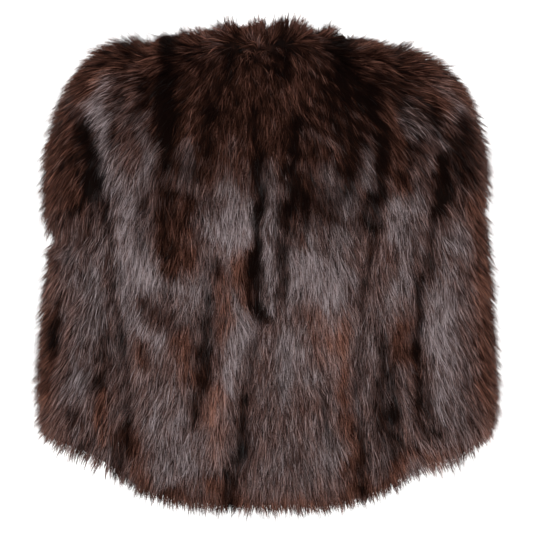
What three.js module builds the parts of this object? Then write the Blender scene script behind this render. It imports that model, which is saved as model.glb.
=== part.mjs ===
// Fur collar wrap: a hip-length cape of long fur, worn open at the front, with a deep turned-down collar.
// Millimetres, +Z up. The wearer faces +Y, so the back of the wrap faces -Y and the wearer's left is -X.
// The origin is the middle of the shoulder line, at the base of the neck.
import * as THREE from "three";

// Driving sizes
const FUR_WALL = 20;
const SEAM_GAP = 0.3;
const FRONT_OPENING = 50;
const FRONT_SEAM_DEG = 130;
const EDGE_PINCH = 5;
const EDGE_ROUND_LENGTH = 6;
const SIDE_FALL_POWER = 2.5;

// Collar sizes
const COLLAR_LIFT = 1.8;
const COLLAR_WALL = 15;
const COLLAR_EDGE_WALL = 8;
const STAND_WALL = 16;
const ROLL_SHOULDER_DROP = 9;
const ROLL_REACH = 16;
const ROLL_FILL = 10;
const ROLL_FILL_REACH = 34;

// Mesh density
const ROWS_PER_RING = 2;
const PANEL_COLUMNS = [7, 12, 28, 12, 7];
const FALL_ROWS = 7;
const COLOURS = { fur: "#3e2620", collar: "#35201b" };
const FUR_ROUGHNESS = 0.85;

// Rings of the outer fur face: neck, yoke, top, cap and turn of the shoulder, arm, chest, elbow, waist, hip,
// low and hem. wL, wR, dB and dF are how far the ring reaches from the middle to the left, right, back
// and front, zL, zR, zB and zF its heights there, power how square its corners are, and seam the angle from
// the middle of the back at which the back joins the side pieces.
const RINGS = [
  { wL: 92, wR: 92, dB: 92, dF: 93, zL: 33, zR: 30, zB: 34, zF: -6, power: 2.0, seam: 50 },
  { wL: 128, wR: 127, dB: 110, dF: 104, zL: 49, zR: 44, zB: 6, zF: -29, power: 2.1, seam: 50 },
  { wL: 168, wR: 165, dB: 125, dF: 115, zL: 60, zR: 52, zB: -30, zF: -56, power: 2.3, seam: 51 },
  { wL: 208, wR: 204, dB: 138, dF: 125, zL: 45, zR: 36, zB: -70, zF: -86, power: 2.5, seam: 52 },
  { wL: 237, wR: 235, dB: 148, dF: 133, zL: 11, zR: 8, zB: -112, zF: -118, power: 2.7, seam: 53 },
  { wL: 256, wR: 256, dB: 155, dF: 139, zL: -28, zR: -34, zB: -158, zF: -158, power: 2.8, seam: 53 },
  { wL: 269, wR: 268, dB: 161, dF: 144, zL: -88, zR: -92, zB: -212, zF: -206, power: 2.9, seam: 52 },
  { wL: 271, wR: 270, dB: 164, dF: 147, zL: -160, zR: -162, zB: -268, zF: -254, power: 2.9, seam: 51 },
  { wL: 270, wR: 273, dB: 166, dF: 149, zL: -230, zR: -230, zB: -326, zF: -300, power: 2.9, seam: 50 },
  { wL: 274, wR: 277, dB: 168, dF: 150, zL: -300, zR: -300, zB: -384, zF: -344, power: 2.9, seam: 49 },
  { wL: 277, wR: 280, dB: 170, dF: 151, zL: -366, zR: -366, zB: -442, zF: -388, power: 2.9, seam: 49 },
  { wL: 271, wR: 273, dB: 170, dF: 150, zL: -420, zR: -421, zB: -500, zF: -431, power: 2.9, seam: 50 },
];

// The hem's two back corners, where it lifts towards the arms. They start from a ring above the hem, and
// fade out towards the sides by the cosine of the angle from the middle of the back.
const HEM_CORNERS = [
  { corner: "left", side: -1, x: 203, width: 45, rise: 15 },
  { corner: "right", side: 1, x: 178, width: 40, rise: 15 },
];
const HEM_CORNER_RING = 8;
const HEM_CORNER_FADE = 0.4;

// Folds sunk into the wall, seen square on from behind or from the front. Each runs from x0, z0 to x1, z1.
const FOLDS = [
  { fold: "centre, upper", face: "back", x0: -11, z0: -144, x1: -11, z1: -286, width: 15, depth: 8 },
  { fold: "centre, lower", face: "back", x0: -11, z0: -282, x1: -42, z1: -499, width: 18, depth: 8 },
  { fold: "right of centre", face: "back", x0: 20, z0: -153, x1: 23, z1: -260, width: 14, depth: 6 },
  { fold: "left of centre", face: "back", x0: -67, z0: -253, x1: -84, z1: -419, width: 18, depth: 7 },
  { fold: "right back", face: "back", x0: 109, z0: -187, x1: 106, z1: -486, width: 18, depth: 9 },
  { fold: "right hem", face: "back", x0: 133, z0: -301, x1: 152, z1: -443, width: 15, depth: 6 },
  { fold: "left seam", face: "back", x0: -180, z0: -177, x1: -163, z1: -457, width: 18, depth: 9 },
  { fold: "right seam, upper", face: "back", x0: 201, z0: -125, x1: 175, z1: -324, width: 18, depth: 9 },
  { fold: "right seam, lower", face: "back", x0: 173, z0: -320, x1: 188, z1: -419, width: 18, depth: 8 },
  { fold: "left shoulder", face: "back", x0: -215, z0: -35, x1: -186, z1: -149, width: 15, depth: 8 },
  { fold: "right shoulder", face: "back", x0: 211, z0: -39, x1: 196, z1: -130, width: 15, depth: 6 },
  { fold: "left arm", face: "back", x0: -238, z0: -253, x1: -249, z1: -324, width: 12, depth: 5 },
  { fold: "left front", face: "front", x0: -120, z0: -180, x1: -128, z1: -425, width: 20, depth: 8 },
  { fold: "right front", face: "front", x0: 126, z0: -165, x1: 118, z1: -425, width: 20, depth: 8 },
  { fold: "left front arm", face: "front", x0: -214, z0: -110, x1: -200, z1: -400, width: 18, depth: 7 },
  { fold: "right front arm", face: "front", x0: 206, z0: -130, x1: 212, z1: -390, width: 18, depth: 7 },
];
const FOLD_FADE = 45;

// Creases that run round an arm, where the fur above hangs over the fur below.
const CREASES = [
  { crease: "left elbow", side: -1, z: -184, fall: 26, width: 18, depth: 11 },
  { crease: "right elbow", side: 1, z: -150, fall: 30, width: 18, depth: 4 },
];

// The collar by the angle from the middle of the back: how far its fall reaches down the wrap on each side,
// and the height of its roll.
const COLLAR = [
  { deg: 0, left: 162, right: 162, roll: 67 },
  { deg: 18, left: 166, right: 170, roll: 67 },
  { deg: 34, left: 168, right: 174, roll: 66 },
  { deg: 40, left: 142, right: 164, roll: 66 },
  { deg: 45, left: 102, right: 132, roll: 66 },
  { deg: 52, left: 74, right: 94, roll: 65 },
  { deg: 62, left: 56, right: 64, roll: 65 },
  { deg: 76, left: 46, right: 50, roll: 64 },
  { deg: 95, left: 42, right: 44, roll: 61 },
  { deg: 130, left: 50, right: 50, roll: 46 },
  { deg: 160, left: 74, right: 74, roll: 28 },
  { deg: 180, left: 84, right: 84, roll: 22 },
];

const LAST_RING = RINGS.length - 1;
const STATIONS = PANEL_COLUMNS.length;
const NUDGE = 0.01;
const radians = THREE.MathUtils.degToRad;

// A smooth curve through one column of the ring table.
function ringValue(column, v) {
  const first = Math.min(Math.floor(v), LAST_RING - 1);
  const t = v - first;
  const at = (k) => RINGS[THREE.MathUtils.clamp(k, 0, LAST_RING)][column];
  const [a, b, c, d] = [at(first - 1), at(first), at(first + 1), at(first + 2)];
  const slopeIn = (c - a) / 2;
  const slopeOut = (d - b) / 2;
  const bend = 3 * (c - b) - 2 * slopeIn - slopeOut;
  const twist = 2 * (b - c) + slopeIn + slopeOut;
  return b + t * (slopeIn + t * (bend + t * twist));
}

// The angle from the middle of the back, for a place c across the wrap: whole numbers are the front edges
// and the seams, counted from the wearer's left front edge.
function angleAt(c, v) {
  const edge = Math.PI - Math.atan2(FRONT_OPENING / 2, ringValue("dF", v));
  const frontSeam = radians(FRONT_SEAM_DEG);
  const backSeam = radians(ringValue("seam", v));
  const stations = [-edge, -frontSeam, -backSeam, backSeam, frontSeam, edge];
  const panel = THREE.MathUtils.clamp(Math.floor(c), 0, STATIONS - 1);
  return THREE.MathUtils.lerp(stations[panel], stations[panel + 1], c - panel);
}

// How far the hem's corners lift a point.
function cornerRise(x, cos, v) {
  const fade = THREE.MathUtils.smoothstep(cos, 0, HEM_CORNER_FADE);
  const low = THREE.MathUtils.smoothstep(v, HEM_CORNER_RING, LAST_RING);
  const rises = HEM_CORNERS.map((row) => row.rise * Math.exp(-(((row.side * x - row.x) / row.width) ** 2)));
  return low * fade * rises.reduce((sum, rise) => sum + rise, 0);
}

// A point of the outer fur face before its folds.
function smoothPoint(c, v) {
  const angle = angleAt(c, v);
  const [sin, cos] = [Math.sin(angle), Math.cos(angle)];
  const wide = ringValue(sin < 0 ? "wL" : "wR", v);
  const deep = ringValue(cos > 0 ? "dB" : "dF", v);
  const power = ringValue("power", v);
  const reach = (Math.abs(sin / wide) ** power + Math.abs(cos / deep) ** power) ** (-1 / power);
  const x = reach * sin;
  const toSide = (Math.abs(x) / wide) ** SIDE_FALL_POWER;
  const middle = ringValue(cos > 0 ? "zB" : "zF", v);
  const side = ringValue(sin < 0 ? "zL" : "zR", v);
  const z = THREE.MathUtils.lerp(middle, side, toSide) + cornerRise(x, cos, v);
  return new THREE.Vector3(x, -reach * cos, z);
}

function downThere(c, v) {
  const below = smoothPoint(c, Math.min(v + NUDGE, LAST_RING));
  return below.sub(smoothPoint(c, Math.max(v - NUDGE, 0))).normalize();
}

function acrossThere(c, v) {
  const further = smoothPoint(Math.min(c + NUDGE, STATIONS), v);
  return further.sub(smoothPoint(Math.max(c - NUDGE, 0), v)).normalize();
}

function outwardThere(c, v) {
  return downThere(c, v).cross(acrossThere(c, v)).normalize();
}

// How far the folds and creases sink the wall at a point.
function sunk(point) {
  const face = point.y < 0 ? "back" : "front";
  let depth = 0;
  for (const fold of FOLDS.filter((row) => row.face === face)) {
    const along = (point.z - fold.z0) / (fold.z1 - fold.z0);
    const line = THREE.MathUtils.lerp(fold.x0, fold.x1, along);
    const top = THREE.MathUtils.smoothstep(fold.z0 - point.z, -FOLD_FADE / 2, FOLD_FADE / 2);
    const foot = THREE.MathUtils.smoothstep(point.z - fold.z1, -FOLD_FADE / 2, FOLD_FADE / 2);
    depth += fold.depth * top * foot * Math.exp(-(((point.x - line) / fold.width) ** 2));
  }
  for (const crease of CREASES) {
    const outside = THREE.MathUtils.smoothstep(crease.side * point.x, 170, 250);
    const line = crease.z + crease.fall * (1 - outside);
    depth += crease.depth * outside * Math.exp(-(((point.z - line) / crease.width) ** 2));
  }
  return depth;
}

// A point of the wrap at a height above the outer fur face, or below it if the height is negative.
function furPoint(c, v, height) {
  const base = smoothPoint(c, v);
  return base.clone().addScaledVector(outwardThere(c, v), height - sunk(base));
}

function rowPlaces() {
  const rows = [];
  for (let k = 0; k < LAST_RING * ROWS_PER_RING; k += 1) {
    rows.push(k / ROWS_PER_RING);
  }
  const middle = STATIONS / 2;
  const lastRing = smoothPoint(middle, LAST_RING).distanceTo(smoothPoint(middle, LAST_RING - 1));
  return [...rows, LAST_RING - EDGE_ROUND_LENGTH / lastRing, LAST_RING];
}

// The places across one panel. A seam is left half a gap away, and a front edge gets one more column,
// from which it rounds off.
function columnPlaces(panel) {
  const places = [];
  for (let k = 0; k <= PANEL_COLUMNS[panel]; k += 1) {
    places.push(panel + k / PANEL_COLUMNS[panel]);
  }
  if (panel === 0) {
    places.splice(1, 0, edgeRoundShare());
  }
  if (panel === STATIONS - 1) {
    places.splice(-1, 0, STATIONS - edgeRoundShare());
  }
  return places;
}

function edgeRoundShare() {
  return EDGE_ROUND_LENGTH / smoothPoint(0, LAST_RING / 2).distanceTo(smoothPoint(1, LAST_RING / 2));
}

function besideSeam(c, v, panel) {
  if (c === 0 || c === STATIONS || !Number.isInteger(c)) {
    return c;
  }
  const inward = c === panel ? 1 : -1;
  const speed = smoothPoint(c, v).distanceTo(smoothPoint(c + inward * NUDGE, v)) / NUDGE;
  return c + (inward * SEAM_GAP) / 2 / speed;
}

// Joins loops of points into one closed body. The end triangles are numbered as in a loop, and fill the
// first loop and, turned over, the last one.
function bodyFrom(loops, endTriangles) {
  const size = loops[0].length;
  const points = loops.flat();
  const faces = [];
  const quad = (a, b, c, d) => faces.push(a, b, c, a, c, d);
  for (let row = 0; row + 1 < loops.length; row += 1) {
    const [here, there] = [row * size, (row + 1) * size];
    for (let k = 0; k + 1 < size; k += 1) {
      quad(here + k, there + k, there + k + 1, here + k + 1);
    }
    quad(there + size - 1, there, here, here + size - 1);
  }
  const last = (loops.length - 1) * size;
  for (const [a, b, c] of endTriangles) {
    faces.push(a, b, c, last + c, last + b, last + a);
  }
  const geometry = new THREE.BufferGeometry();
  const numbers = points.flatMap((point) => point.toArray());
  geometry.setAttribute("position", new THREE.Float32BufferAttribute(numbers, 3));
  geometry.setIndex(faces);
  geometry.computeVertexNormals();
  return geometry;
}

function panelGeometry(panel) {
  const columns = columnPlaces(panel);
  const loops = rowPlaces().map((v) => {
    const pinch = (c) => (v === LAST_RING || c === 0 || c === STATIONS ? EDGE_PINCH : 0);
    const outer = columns.map((c) => furPoint(besideSeam(c, v, panel), v, -pinch(c)));
    const inner = columns.map((c) => furPoint(besideSeam(c, v, panel), v, pinch(c) - FUR_WALL));
    return [...outer, ...inner.reverse()];
  });
  const size = loops[0].length;
  const endTriangles = [];
  for (let k = 0; k + 1 < size / 2; k += 1) {
    endTriangles.push([k, k + 1, size - 1 - k], [k + 1, size - 2 - k, size - 1 - k]);
  }
  return bodyFrom(loops, endTriangles);
}

// A value of the collar table by the angle from the middle of the back.
function collarValue(column, angle) {
  const deg = Math.abs(THREE.MathUtils.radToDeg(angle));
  const next = COLLAR.findIndex((row) => row.deg > deg);
  const [from, to] = [COLLAR[next - 1], COLLAR[next]];
  const t = THREE.MathUtils.smoothstep(deg, from.deg, to.deg);
  const straight = (deg - from.deg) / (to.deg - from.deg);
  return THREE.MathUtils.lerp(from[column], to[column], (t + straight) / 2);
}

// The place down the wrap that lies at a distance from the neck seam, measured on the fur.
function placeAtDistance(c, distance) {
  let v = 0;
  let left = distance;
  while (left > 0) {
    const step = smoothPoint(c, v).distanceTo(smoothPoint(c, v + NUDGE));
    v += NUDGE * Math.min(1, left / step);
    left -= step;
  }
  return v;
}

// One section through the collar: from the neck seam down the wrap on the face that lies on it, round the
// edge of the fall, up its outer face, over the roll, and down the inside of the stand.
function collarSection(c) {
  const angle = angleAt(c, 0);
  const reach = collarValue(angle < 0 ? "left" : "right", angle);
  const atNeck = smoothPoint(c, 0);
  const down = downThere(c, 0);
  const outward = outwardThere(c, 0);
  const away = new THREE.Vector3(atNeck.x, atNeck.y, 0).normalize();
  const seamFoot = atNeck.clone().addScaledVector(outward, -FUR_WALL).addScaledVector(down, -SEAM_GAP);
  const standFoot = seamFoot.clone().addScaledVector(down, -STAND_WALL);
  const endPinch = c === 0 || c === STATIONS ? EDGE_PINCH : 0;
  const top = collarValue("roll", angle) - endPinch;
  const height = (distance) => {
    const wall = THREE.MathUtils.lerp(COLLAR_WALL, COLLAR_EDGE_WALL, (distance / reach) ** 3);
    return COLLAR_LIFT + wall - endPinch + ROLL_FILL * Math.exp(-((distance / ROLL_FILL_REACH) ** 2));
  };
  const fall = [];
  const under = [];
  for (let k = 0; k <= FALL_ROWS; k += 1) {
    const distance = THREE.MathUtils.lerp(ROLL_REACH, reach, k / FALL_ROWS);
    fall.unshift(furPoint(c, placeAtDistance(c, distance), height(distance)));
    under.push(furPoint(c, placeAtDistance(c, (reach * k) / FALL_ROWS), COLLAR_LIFT));
  }
  under[0].addScaledVector(down, -SEAM_GAP);
  const edge = fall[0].clone().lerp(under[FALL_ROWS], 0.5);
  edge.addScaledVector(downThere(c, placeAtDistance(c, reach)), EDGE_PINCH);
  const rollFrom = new THREE.Vector3(standFoot.x, standFoot.y, top - ROLL_SHOULDER_DROP);
  const rollTo = fall[FALL_ROWS];
  const over = rollFrom.distanceTo(new THREE.Vector3(rollTo.x, rollTo.y, rollFrom.z));
  const crown = (share, height) => {
    return new THREE.Vector3(rollFrom.x, rollFrom.y, height).addScaledVector(away, over * share);
  };
  const roll = [crown(0.8, top - ROLL_SHOULDER_DROP / 2), crown(0.5, top), crown(0.2, top - 2), rollFrom];
  return [seamFoot, ...under, edge, ...fall, ...roll, standFoot];
}

function collarGeometry() {
  const places = PANEL_COLUMNS.flatMap((_, panel) => columnPlaces(panel));
  const loops = [...new Set(places)].map((c) => collarSection(c));
  const flatEnd = loops[0].map((point) => new THREE.Vector2(Math.hypot(point.x, point.y), point.z));
  const endTriangles = THREE.ShapeUtils.triangulateShape(flatEnd, []);
  return bodyFrom(loops, endTriangles);
}

function pieceMesh(name, geometry, colour) {
  const finish = { color: colour, roughness: FUR_ROUGHNESS, metalness: 0 };
  const mesh = new THREE.Mesh(geometry, new THREE.MeshStandardMaterial(finish));
  mesh.name = name;
  return mesh;
}

const group = new THREE.Group();
const PANEL_NAMES = ["left_front", "left_side", "back", "right_side", "right_front"];
PANEL_NAMES.forEach((name, panel) => group.add(pieceMesh(name, panelGeometry(panel), COLOURS.fur)));
group.add(pieceMesh("collar", collarGeometry(), COLOURS.collar));

export default group;
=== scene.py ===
"""Fur collar wrap: the looks of a hip-length cape of long dark fur, grown on thin pelts.

The pelts lie on the rings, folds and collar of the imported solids. The fur is narrow tapering strips of
mesh in locks, which lie the way the pelts run and gather to points along the outline. Places are in
millimetres here, and add_mesh turns them to metres.
"""
import logging
import math
from dataclasses import dataclass, field
from enum import Enum

import bpy
import numpy as np
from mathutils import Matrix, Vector


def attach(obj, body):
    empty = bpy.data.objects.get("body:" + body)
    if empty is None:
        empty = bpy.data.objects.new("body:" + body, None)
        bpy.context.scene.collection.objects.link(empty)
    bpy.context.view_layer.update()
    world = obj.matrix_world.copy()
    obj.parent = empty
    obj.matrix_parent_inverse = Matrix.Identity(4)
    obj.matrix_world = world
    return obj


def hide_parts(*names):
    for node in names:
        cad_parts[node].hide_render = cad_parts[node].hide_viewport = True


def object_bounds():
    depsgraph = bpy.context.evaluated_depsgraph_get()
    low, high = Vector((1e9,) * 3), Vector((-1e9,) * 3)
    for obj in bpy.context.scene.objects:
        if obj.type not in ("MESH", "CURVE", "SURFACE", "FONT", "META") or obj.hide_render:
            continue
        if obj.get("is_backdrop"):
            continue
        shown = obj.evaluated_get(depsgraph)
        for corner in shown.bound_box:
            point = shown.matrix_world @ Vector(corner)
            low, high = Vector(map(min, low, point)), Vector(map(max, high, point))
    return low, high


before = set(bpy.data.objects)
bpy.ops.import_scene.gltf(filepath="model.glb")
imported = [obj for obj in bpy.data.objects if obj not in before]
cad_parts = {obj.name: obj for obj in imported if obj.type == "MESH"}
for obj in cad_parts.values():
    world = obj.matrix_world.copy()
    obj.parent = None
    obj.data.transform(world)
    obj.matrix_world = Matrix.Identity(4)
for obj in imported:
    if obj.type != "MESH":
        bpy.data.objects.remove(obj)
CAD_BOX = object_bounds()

logging.basicConfig(level=logging.INFO, format="%(message)s")
log = logging.getLogger("fur_collar_wrap")

MM = 0.001
MM2_PER_CM2 = 100
SEED = 20517


class Side(Enum):
    """The side of the wrap on which a fold lies."""

    BACK = -1
    FRONT = 1


@dataclass(frozen=True)
class Ring:
    """One ring of the outer fur face: its reaches, heights, squareness and the angle of its back seams."""

    left: float
    right: float
    back: float
    front: float
    z_left: float
    z_right: float
    z_back: float
    z_front: float
    power: float
    seam: float


@dataclass(frozen=True)
class HemCorner:
    """One back corner of the hem, lifted towards the arm: side is -1 for the left and 1 for the right."""

    side: int
    x: float
    width: float
    rise: float


@dataclass(frozen=True)
class Fold:
    """A fold sunk into the wrap, seen square on, from x0, z0 down to x1, z1."""

    side: Side
    x0: float
    z0: float
    x1: float
    z1: float
    width: float
    depth: float


@dataclass(frozen=True)
class Crease:
    """A crease round one arm, where the fur above hangs over the fur below."""

    arm: int
    z: float
    fall: float
    width: float
    depth: float


@dataclass(frozen=True)
class CollarRow:
    """The collar at one angle from the middle of the back.

    left and right are how far its fall reaches on each side, and roll is the height of its roll.
    """

    deg: float
    left: float
    right: float
    roll: float


@dataclass(frozen=True)
class Tuft:
    """A tuft or a gap along the collar's crest at x: growth is the share that its hair's length gains."""

    x: float
    width: float
    growth: float


@dataclass(frozen=True)
class Stroke:
    """A soft stroke of fur colour from x0, z0 to x1, z1, in millimetres, on one side of the wrap.

    tone is added to the fur's tone, mostly as painted shade and painted light, and the last field to its
    share of hairs coloured as painted sheen.
    """

    x0: float
    z0: float
    x1: float
    z1: float
    width: float
    tone: float
    painted_sheen: float


RINGS = (
    Ring(92, 92, 92, 93, 33, 30, 34, -6, 2.0, 50),
    Ring(128, 127, 110, 104, 49, 44, 6, -29, 2.1, 50),
    Ring(168, 165, 125, 115, 60, 52, -30, -56, 2.3, 51),
    Ring(208, 204, 138, 125, 45, 36, -70, -86, 2.5, 52),
    Ring(237, 235, 148, 133, 11, 8, -112, -118, 2.7, 53),
    Ring(256, 256, 155, 139, -28, -34, -158, -158, 2.8, 53),
    Ring(269, 268, 161, 144, -88, -92, -212, -206, 2.9, 52),
    Ring(271, 270, 164, 147, -160, -162, -268, -254, 2.9, 51),
    Ring(270, 273, 166, 149, -230, -230, -326, -300, 2.9, 50),
    Ring(274, 277, 168, 150, -300, -300, -384, -344, 2.9, 49),
    Ring(277, 280, 170, 151, -366, -366, -442, -388, 2.9, 49),
    Ring(271, 273, 170, 150, -420, -421, -500, -431, 2.9, 50),
)

HEM_CORNERS = (HemCorner(-1, 203, 45, 15), HemCorner(1, 178, 40, 15))

FOLDS = (
    Fold(Side.BACK, -11, -144, -11, -286, 15, 8),
    Fold(Side.BACK, -11, -282, -42, -499, 18, 8),
    Fold(Side.BACK, 20, -153, 23, -260, 14, 6),
    Fold(Side.BACK, -67, -253, -84, -419, 18, 7),
    Fold(Side.BACK, 109, -187, 106, -486, 18, 9),
    Fold(Side.BACK, 133, -301, 152, -443, 15, 6),
    Fold(Side.BACK, -180, -177, -163, -457, 18, 9),
    Fold(Side.BACK, 201, -125, 175, -324, 18, 9),
    Fold(Side.BACK, 173, -320, 188, -419, 18, 8),
    Fold(Side.BACK, -215, -35, -186, -149, 15, 8),
    Fold(Side.BACK, 211, -39, 196, -130, 15, 6),
    Fold(Side.BACK, -238, -253, -249, -324, 12, 5),
    Fold(Side.FRONT, -120, -180, -128, -425, 20, 8),
    Fold(Side.FRONT, 126, -165, 118, -425, 20, 8),
    Fold(Side.FRONT, -214, -110, -200, -400, 18, 7),
    Fold(Side.FRONT, 206, -130, 212, -390, 18, 7),
)

CREASES = (Crease(-1, -184, 26, 18, 11), Crease(1, -150, 30, 18, 4))

# How far out on an arm a crease begins, and where it reaches its full depth.
ARM_REACH = (170.0, 250.0)

COLLAR_ROWS = (
    CollarRow(0, 162, 162, 67),
    CollarRow(18, 166, 170, 67),
    CollarRow(34, 168, 174, 66),
    CollarRow(40, 142, 164, 66),
    CollarRow(45, 102, 132, 66),
    CollarRow(52, 74, 94, 65),
    CollarRow(62, 56, 64, 65),
    CollarRow(76, 46, 50, 64),
    CollarRow(95, 42, 44, 61),
    CollarRow(130, 50, 50, 46),
    CollarRow(160, 74, 74, 28),
    CollarRow(180, 84, 84, 22),
)

TUFTS = (
    Tuft(-130, 12, -0.7),
    Tuft(-107, 9, -0.5),
    Tuft(-86, 9, 0.0),
    Tuft(-63, 8, -0.45),
    Tuft(-50, 9, 0.1),
    Tuft(-27, 6, -0.6),
    Tuft(-13, 7, -0.1),
    Tuft(4, 6, -0.35),
    Tuft(32, 12, 0.1),
    Tuft(56, 7, -0.8),
    Tuft(69, 6, 0.25),
    Tuft(90, 10, -0.6),
    Tuft(118, 18, -0.8),
)

# Strokes set out on the back, as the photo shows it from 3 m behind, and then tuned after renders were
# compared with it. First the dark ones: painted shade in the valleys between the falls of fur, and other
# painted shade, such as that under the collar.
VALLEY_SHADE = (
    Stroke(-120, 56, -121, -15, 9, -0.56, -0.5),
    Stroke(-121, -15, -123, -82, 11, -0.44, -0.4),
    Stroke(-125, -82, -123, -137, 12, -0.17, -0.1),
    Stroke(-40, 71, -45, 34, 11, -0.16, -0.1),
    Stroke(21, 71, 19, 22, 11, -0.22, -0.1),
    Stroke(45, -21, 29, -100, 7, -0.2, -0.1),
    Stroke(-13, -33, -8, -88, 6, -0.11, 0),
    Stroke(93, 52, 95, 16, 16, -0.3, -0.1),
    Stroke(106, 12, 126, -9, 15, -0.23, -0.1),
    Stroke(87, -15, 118, -63, 22, -0.1, 0),
    Stroke(130, -9, 141, -76, 10, -0.31, -0.2),
    Stroke(141, -76, 138, -124, 10, -0.33, -0.2),
    Stroke(-68, -27, -66, -88, 9, -0.1, 0),
    Stroke(-102, 50, -84, 34, 15, -0.1, 0),
    Stroke(-8, -88, -8, -143, 7, -0.22, -0.1),
    Stroke(-8, -143, -14, -216, 7, -0.51, -0.2),
    Stroke(-13, -216, -8, -273, 11, -0.46, -0.3),
    Stroke(-13, -281, -26, -381, 7, -0.14, 0.05),
    Stroke(-26, -381, -35, -442, 9, -0.3, -0.1),
    Stroke(-35, -442, -43, -506, 10, -0.31, -0.1),
    Stroke(38, -51, 24, -143, 10, -0.22, -0.1),
    Stroke(24, -143, 20, -249, 9, -0.38, -0.2),
    Stroke(43, -124, 43, -183, 11, -0.23, -0.3),
    Stroke(99, -110, 102, -134, 10, -0.2, -0.1),
    Stroke(107, -159, 114, -163, 9, -0.11, 0),
    Stroke(126, -124, 129, -179, 9, -0.3, -0.1),
    Stroke(129, -179, 119, -246, 7, -0.17, -0.1),
    Stroke(118, -246, 118, -295, 7, -0.22, -0.1),
    Stroke(119, -295, 113, -405, 6, -0.1, 0),
    Stroke(114, -405, 117, -497, 9, -0.24, -0.1),
    Stroke(143, -320, 151, -393, 10, -0.33, -0.2),
    Stroke(151, -393, 163, -456, 10, -0.25, -0.1),
    Stroke(136, -362, 136, -411, 7, -0.17, -0.1),
    Stroke(-71, -259, -74, -320, 7, -0.3, -0.1),
    Stroke(-74, -320, -86, -411, 10, -0.28, -0.2),
    Stroke(-73, -220, -71, -259, 9, -0.1, 0.1),
    Stroke(-62, -224, -62, -234, 7, -0.2, -0.2),
    Stroke(73, -381, 77, -429, 6, -0.16, 0),
    Stroke(20, -405, 26, -454, 9, -0.1, 0),
    Stroke(-191, -198, -184, -265, 7, -0.15, -0.1),
    Stroke(-181, -265, -176, -307, 6, -0.22, -0.1),
    Stroke(-175, -307, -169, -411, 6, -0.2, 0),
    Stroke(-171, -417, -180, -468, 9, -0.22, -0.1),
    Stroke(-225, -41, -218, -76, 7, -0.53, -0.4),
    Stroke(-218, -76, -212, -118, 11, -0.47, -0.3),
    Stroke(-212, -118, -196, -155, 11, -0.3, -0.2),
    Stroke(-196, -155, -191, -182, 7, -0.2, -0.1),
    Stroke(-228, -51, -237, -94, 5, -0.2, -0.1),
    Stroke(-221, -128, -252, -165, 5, -0.34, -0.3),
    Stroke(-218, -124, -215, -167, 11, -0.14, -0.1),
    Stroke(-249, -256, -259, -307, 6, -0.3, -0.2),
    Stroke(-259, -307, -270, -354, 6, -0.22, -0.2),
    Stroke(-207, -350, -208, -368, 9, -0.37, -0.2),
    Stroke(-201, -305, -203, -322, 9, -0.2, -0.1),
    Stroke(-224, -303, -223, -312, 7, -0.11, 0),
    Stroke(-239, -401, -235, -404, 10, -0.15, -0.1),
    Stroke(-230, -438, -223, -438, 10, -0.23, -0.1),
    Stroke(-184, -429, -185, -444, 9, -0.14, -0.1),
    Stroke(-145, -268, -124, -292, 11, -0.17, -0.2),
    Stroke(-148, -325, -148, -334, 6, -0.22, -0.2),
    Stroke(-126, -137, -126, -212, 11, -0.23, -0.3),
    Stroke(-148, -137, -148, -149, 10, -0.14, -0.1),
    Stroke(-168, 54, -175, 27, 10, -0.24, -0.2),
    Stroke(-147, 4, -142, -21, 11, -0.2, -0.1),
    Stroke(-156, -5, -157, -15, 6, -0.2, 0),
    Stroke(-182, -9, -180, -20, 9, -0.14, -0.1),
    Stroke(-190, -56, -190, -66, 6, -0.25, -0.2),
    Stroke(-159, -33, -162, -49, 7, -0.14, 0),
    Stroke(221, -94, 213, -155, 9, -0.33, -0.2),
    Stroke(207, -155, 195, -234, 7, -0.2, -0.1),
    Stroke(190, -234, 182, -322, 7, -0.33, -0.2),
    Stroke(181, -322, 186, -381, 9, -0.25, -0.2),
    Stroke(186, -381, 203, -417, 9, -0.28, -0.2),
    Stroke(237, -51, 241, -106, 17, -0.33, -0.3),
    Stroke(199, -107, 209, -112, 11, -0.23, -0.2),
    Stroke(224, -134, 231, -144, 10, -0.2, -0.2),
    Stroke(154, 37, 180, 15, 13, -0.2, -0.2),
    Stroke(138, 20, 158, -5, 12, -0.17, -0.2),
    Stroke(203, -20, 207, -54, 7, -0.2, -0.2),
    Stroke(179, -70, 182, -82, 11, -0.25, -0.2),
    Stroke(-72, -108, 92, -112, 40, -0.15, -0.2),
    Stroke(60, -142, 86, -172, 20, -0.12, -0.1),
    Stroke(-95, -98, -92, -172, 15, -0.12, -0.1),
    Stroke(-5, -142, 22, -205, 11, -0.11, -0.1),
    Stroke(168, -105, 170, -178, 14, -0.11, -0.1),
    Stroke(197, -15, 202, -62, 12, -0.13, 0),
    Stroke(-181, -12, -181, -36, 11, -0.1, 0),
    Stroke(-181, -222, -183, -236, 10, -0.1, 0),
    Stroke(-198, -282, -186, -325, 13, -0.09, 0),
    Stroke(-125, -282, -65, -292, 12, -0.1, 0),
    Stroke(140, -430, 143, -470, 12, -0.1, 0),
    Stroke(-150, -492, -90, -500, 10, -0.12, 0),
    Stroke(84, -50, 108, -90, 18, -0.13, -0.1),
    Stroke(82, -135, 84, -178, 16, -0.12, -0.1),
    Stroke(-5, -105, -3, -120, 10, -0.14, 0),
    Stroke(168, -12, 172, -36, 10, -0.12, 0),
    Stroke(-5, -250, -4, -270, 8, -0.1, 0),
    Stroke(-93, -338, -93, -356, 9, -0.11, 0),
    Stroke(-152, -140, -152, -205, 11, -0.12, 0),
    Stroke(-64, -135, -64, -148, 10, -0.1, 0),
    Stroke(53, -48, 54, -62, 11, -0.14, 0),
    Stroke(53, -165, 54, -180, 9, -0.12, 0),
    Stroke(-123, -250, -123, -268, 9, -0.1, 0),
    Stroke(112, -310, 112, -378, 8, -0.08, 0),
    Stroke(53, -455, 53, -495, 9, -0.07, 0),
)
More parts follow.
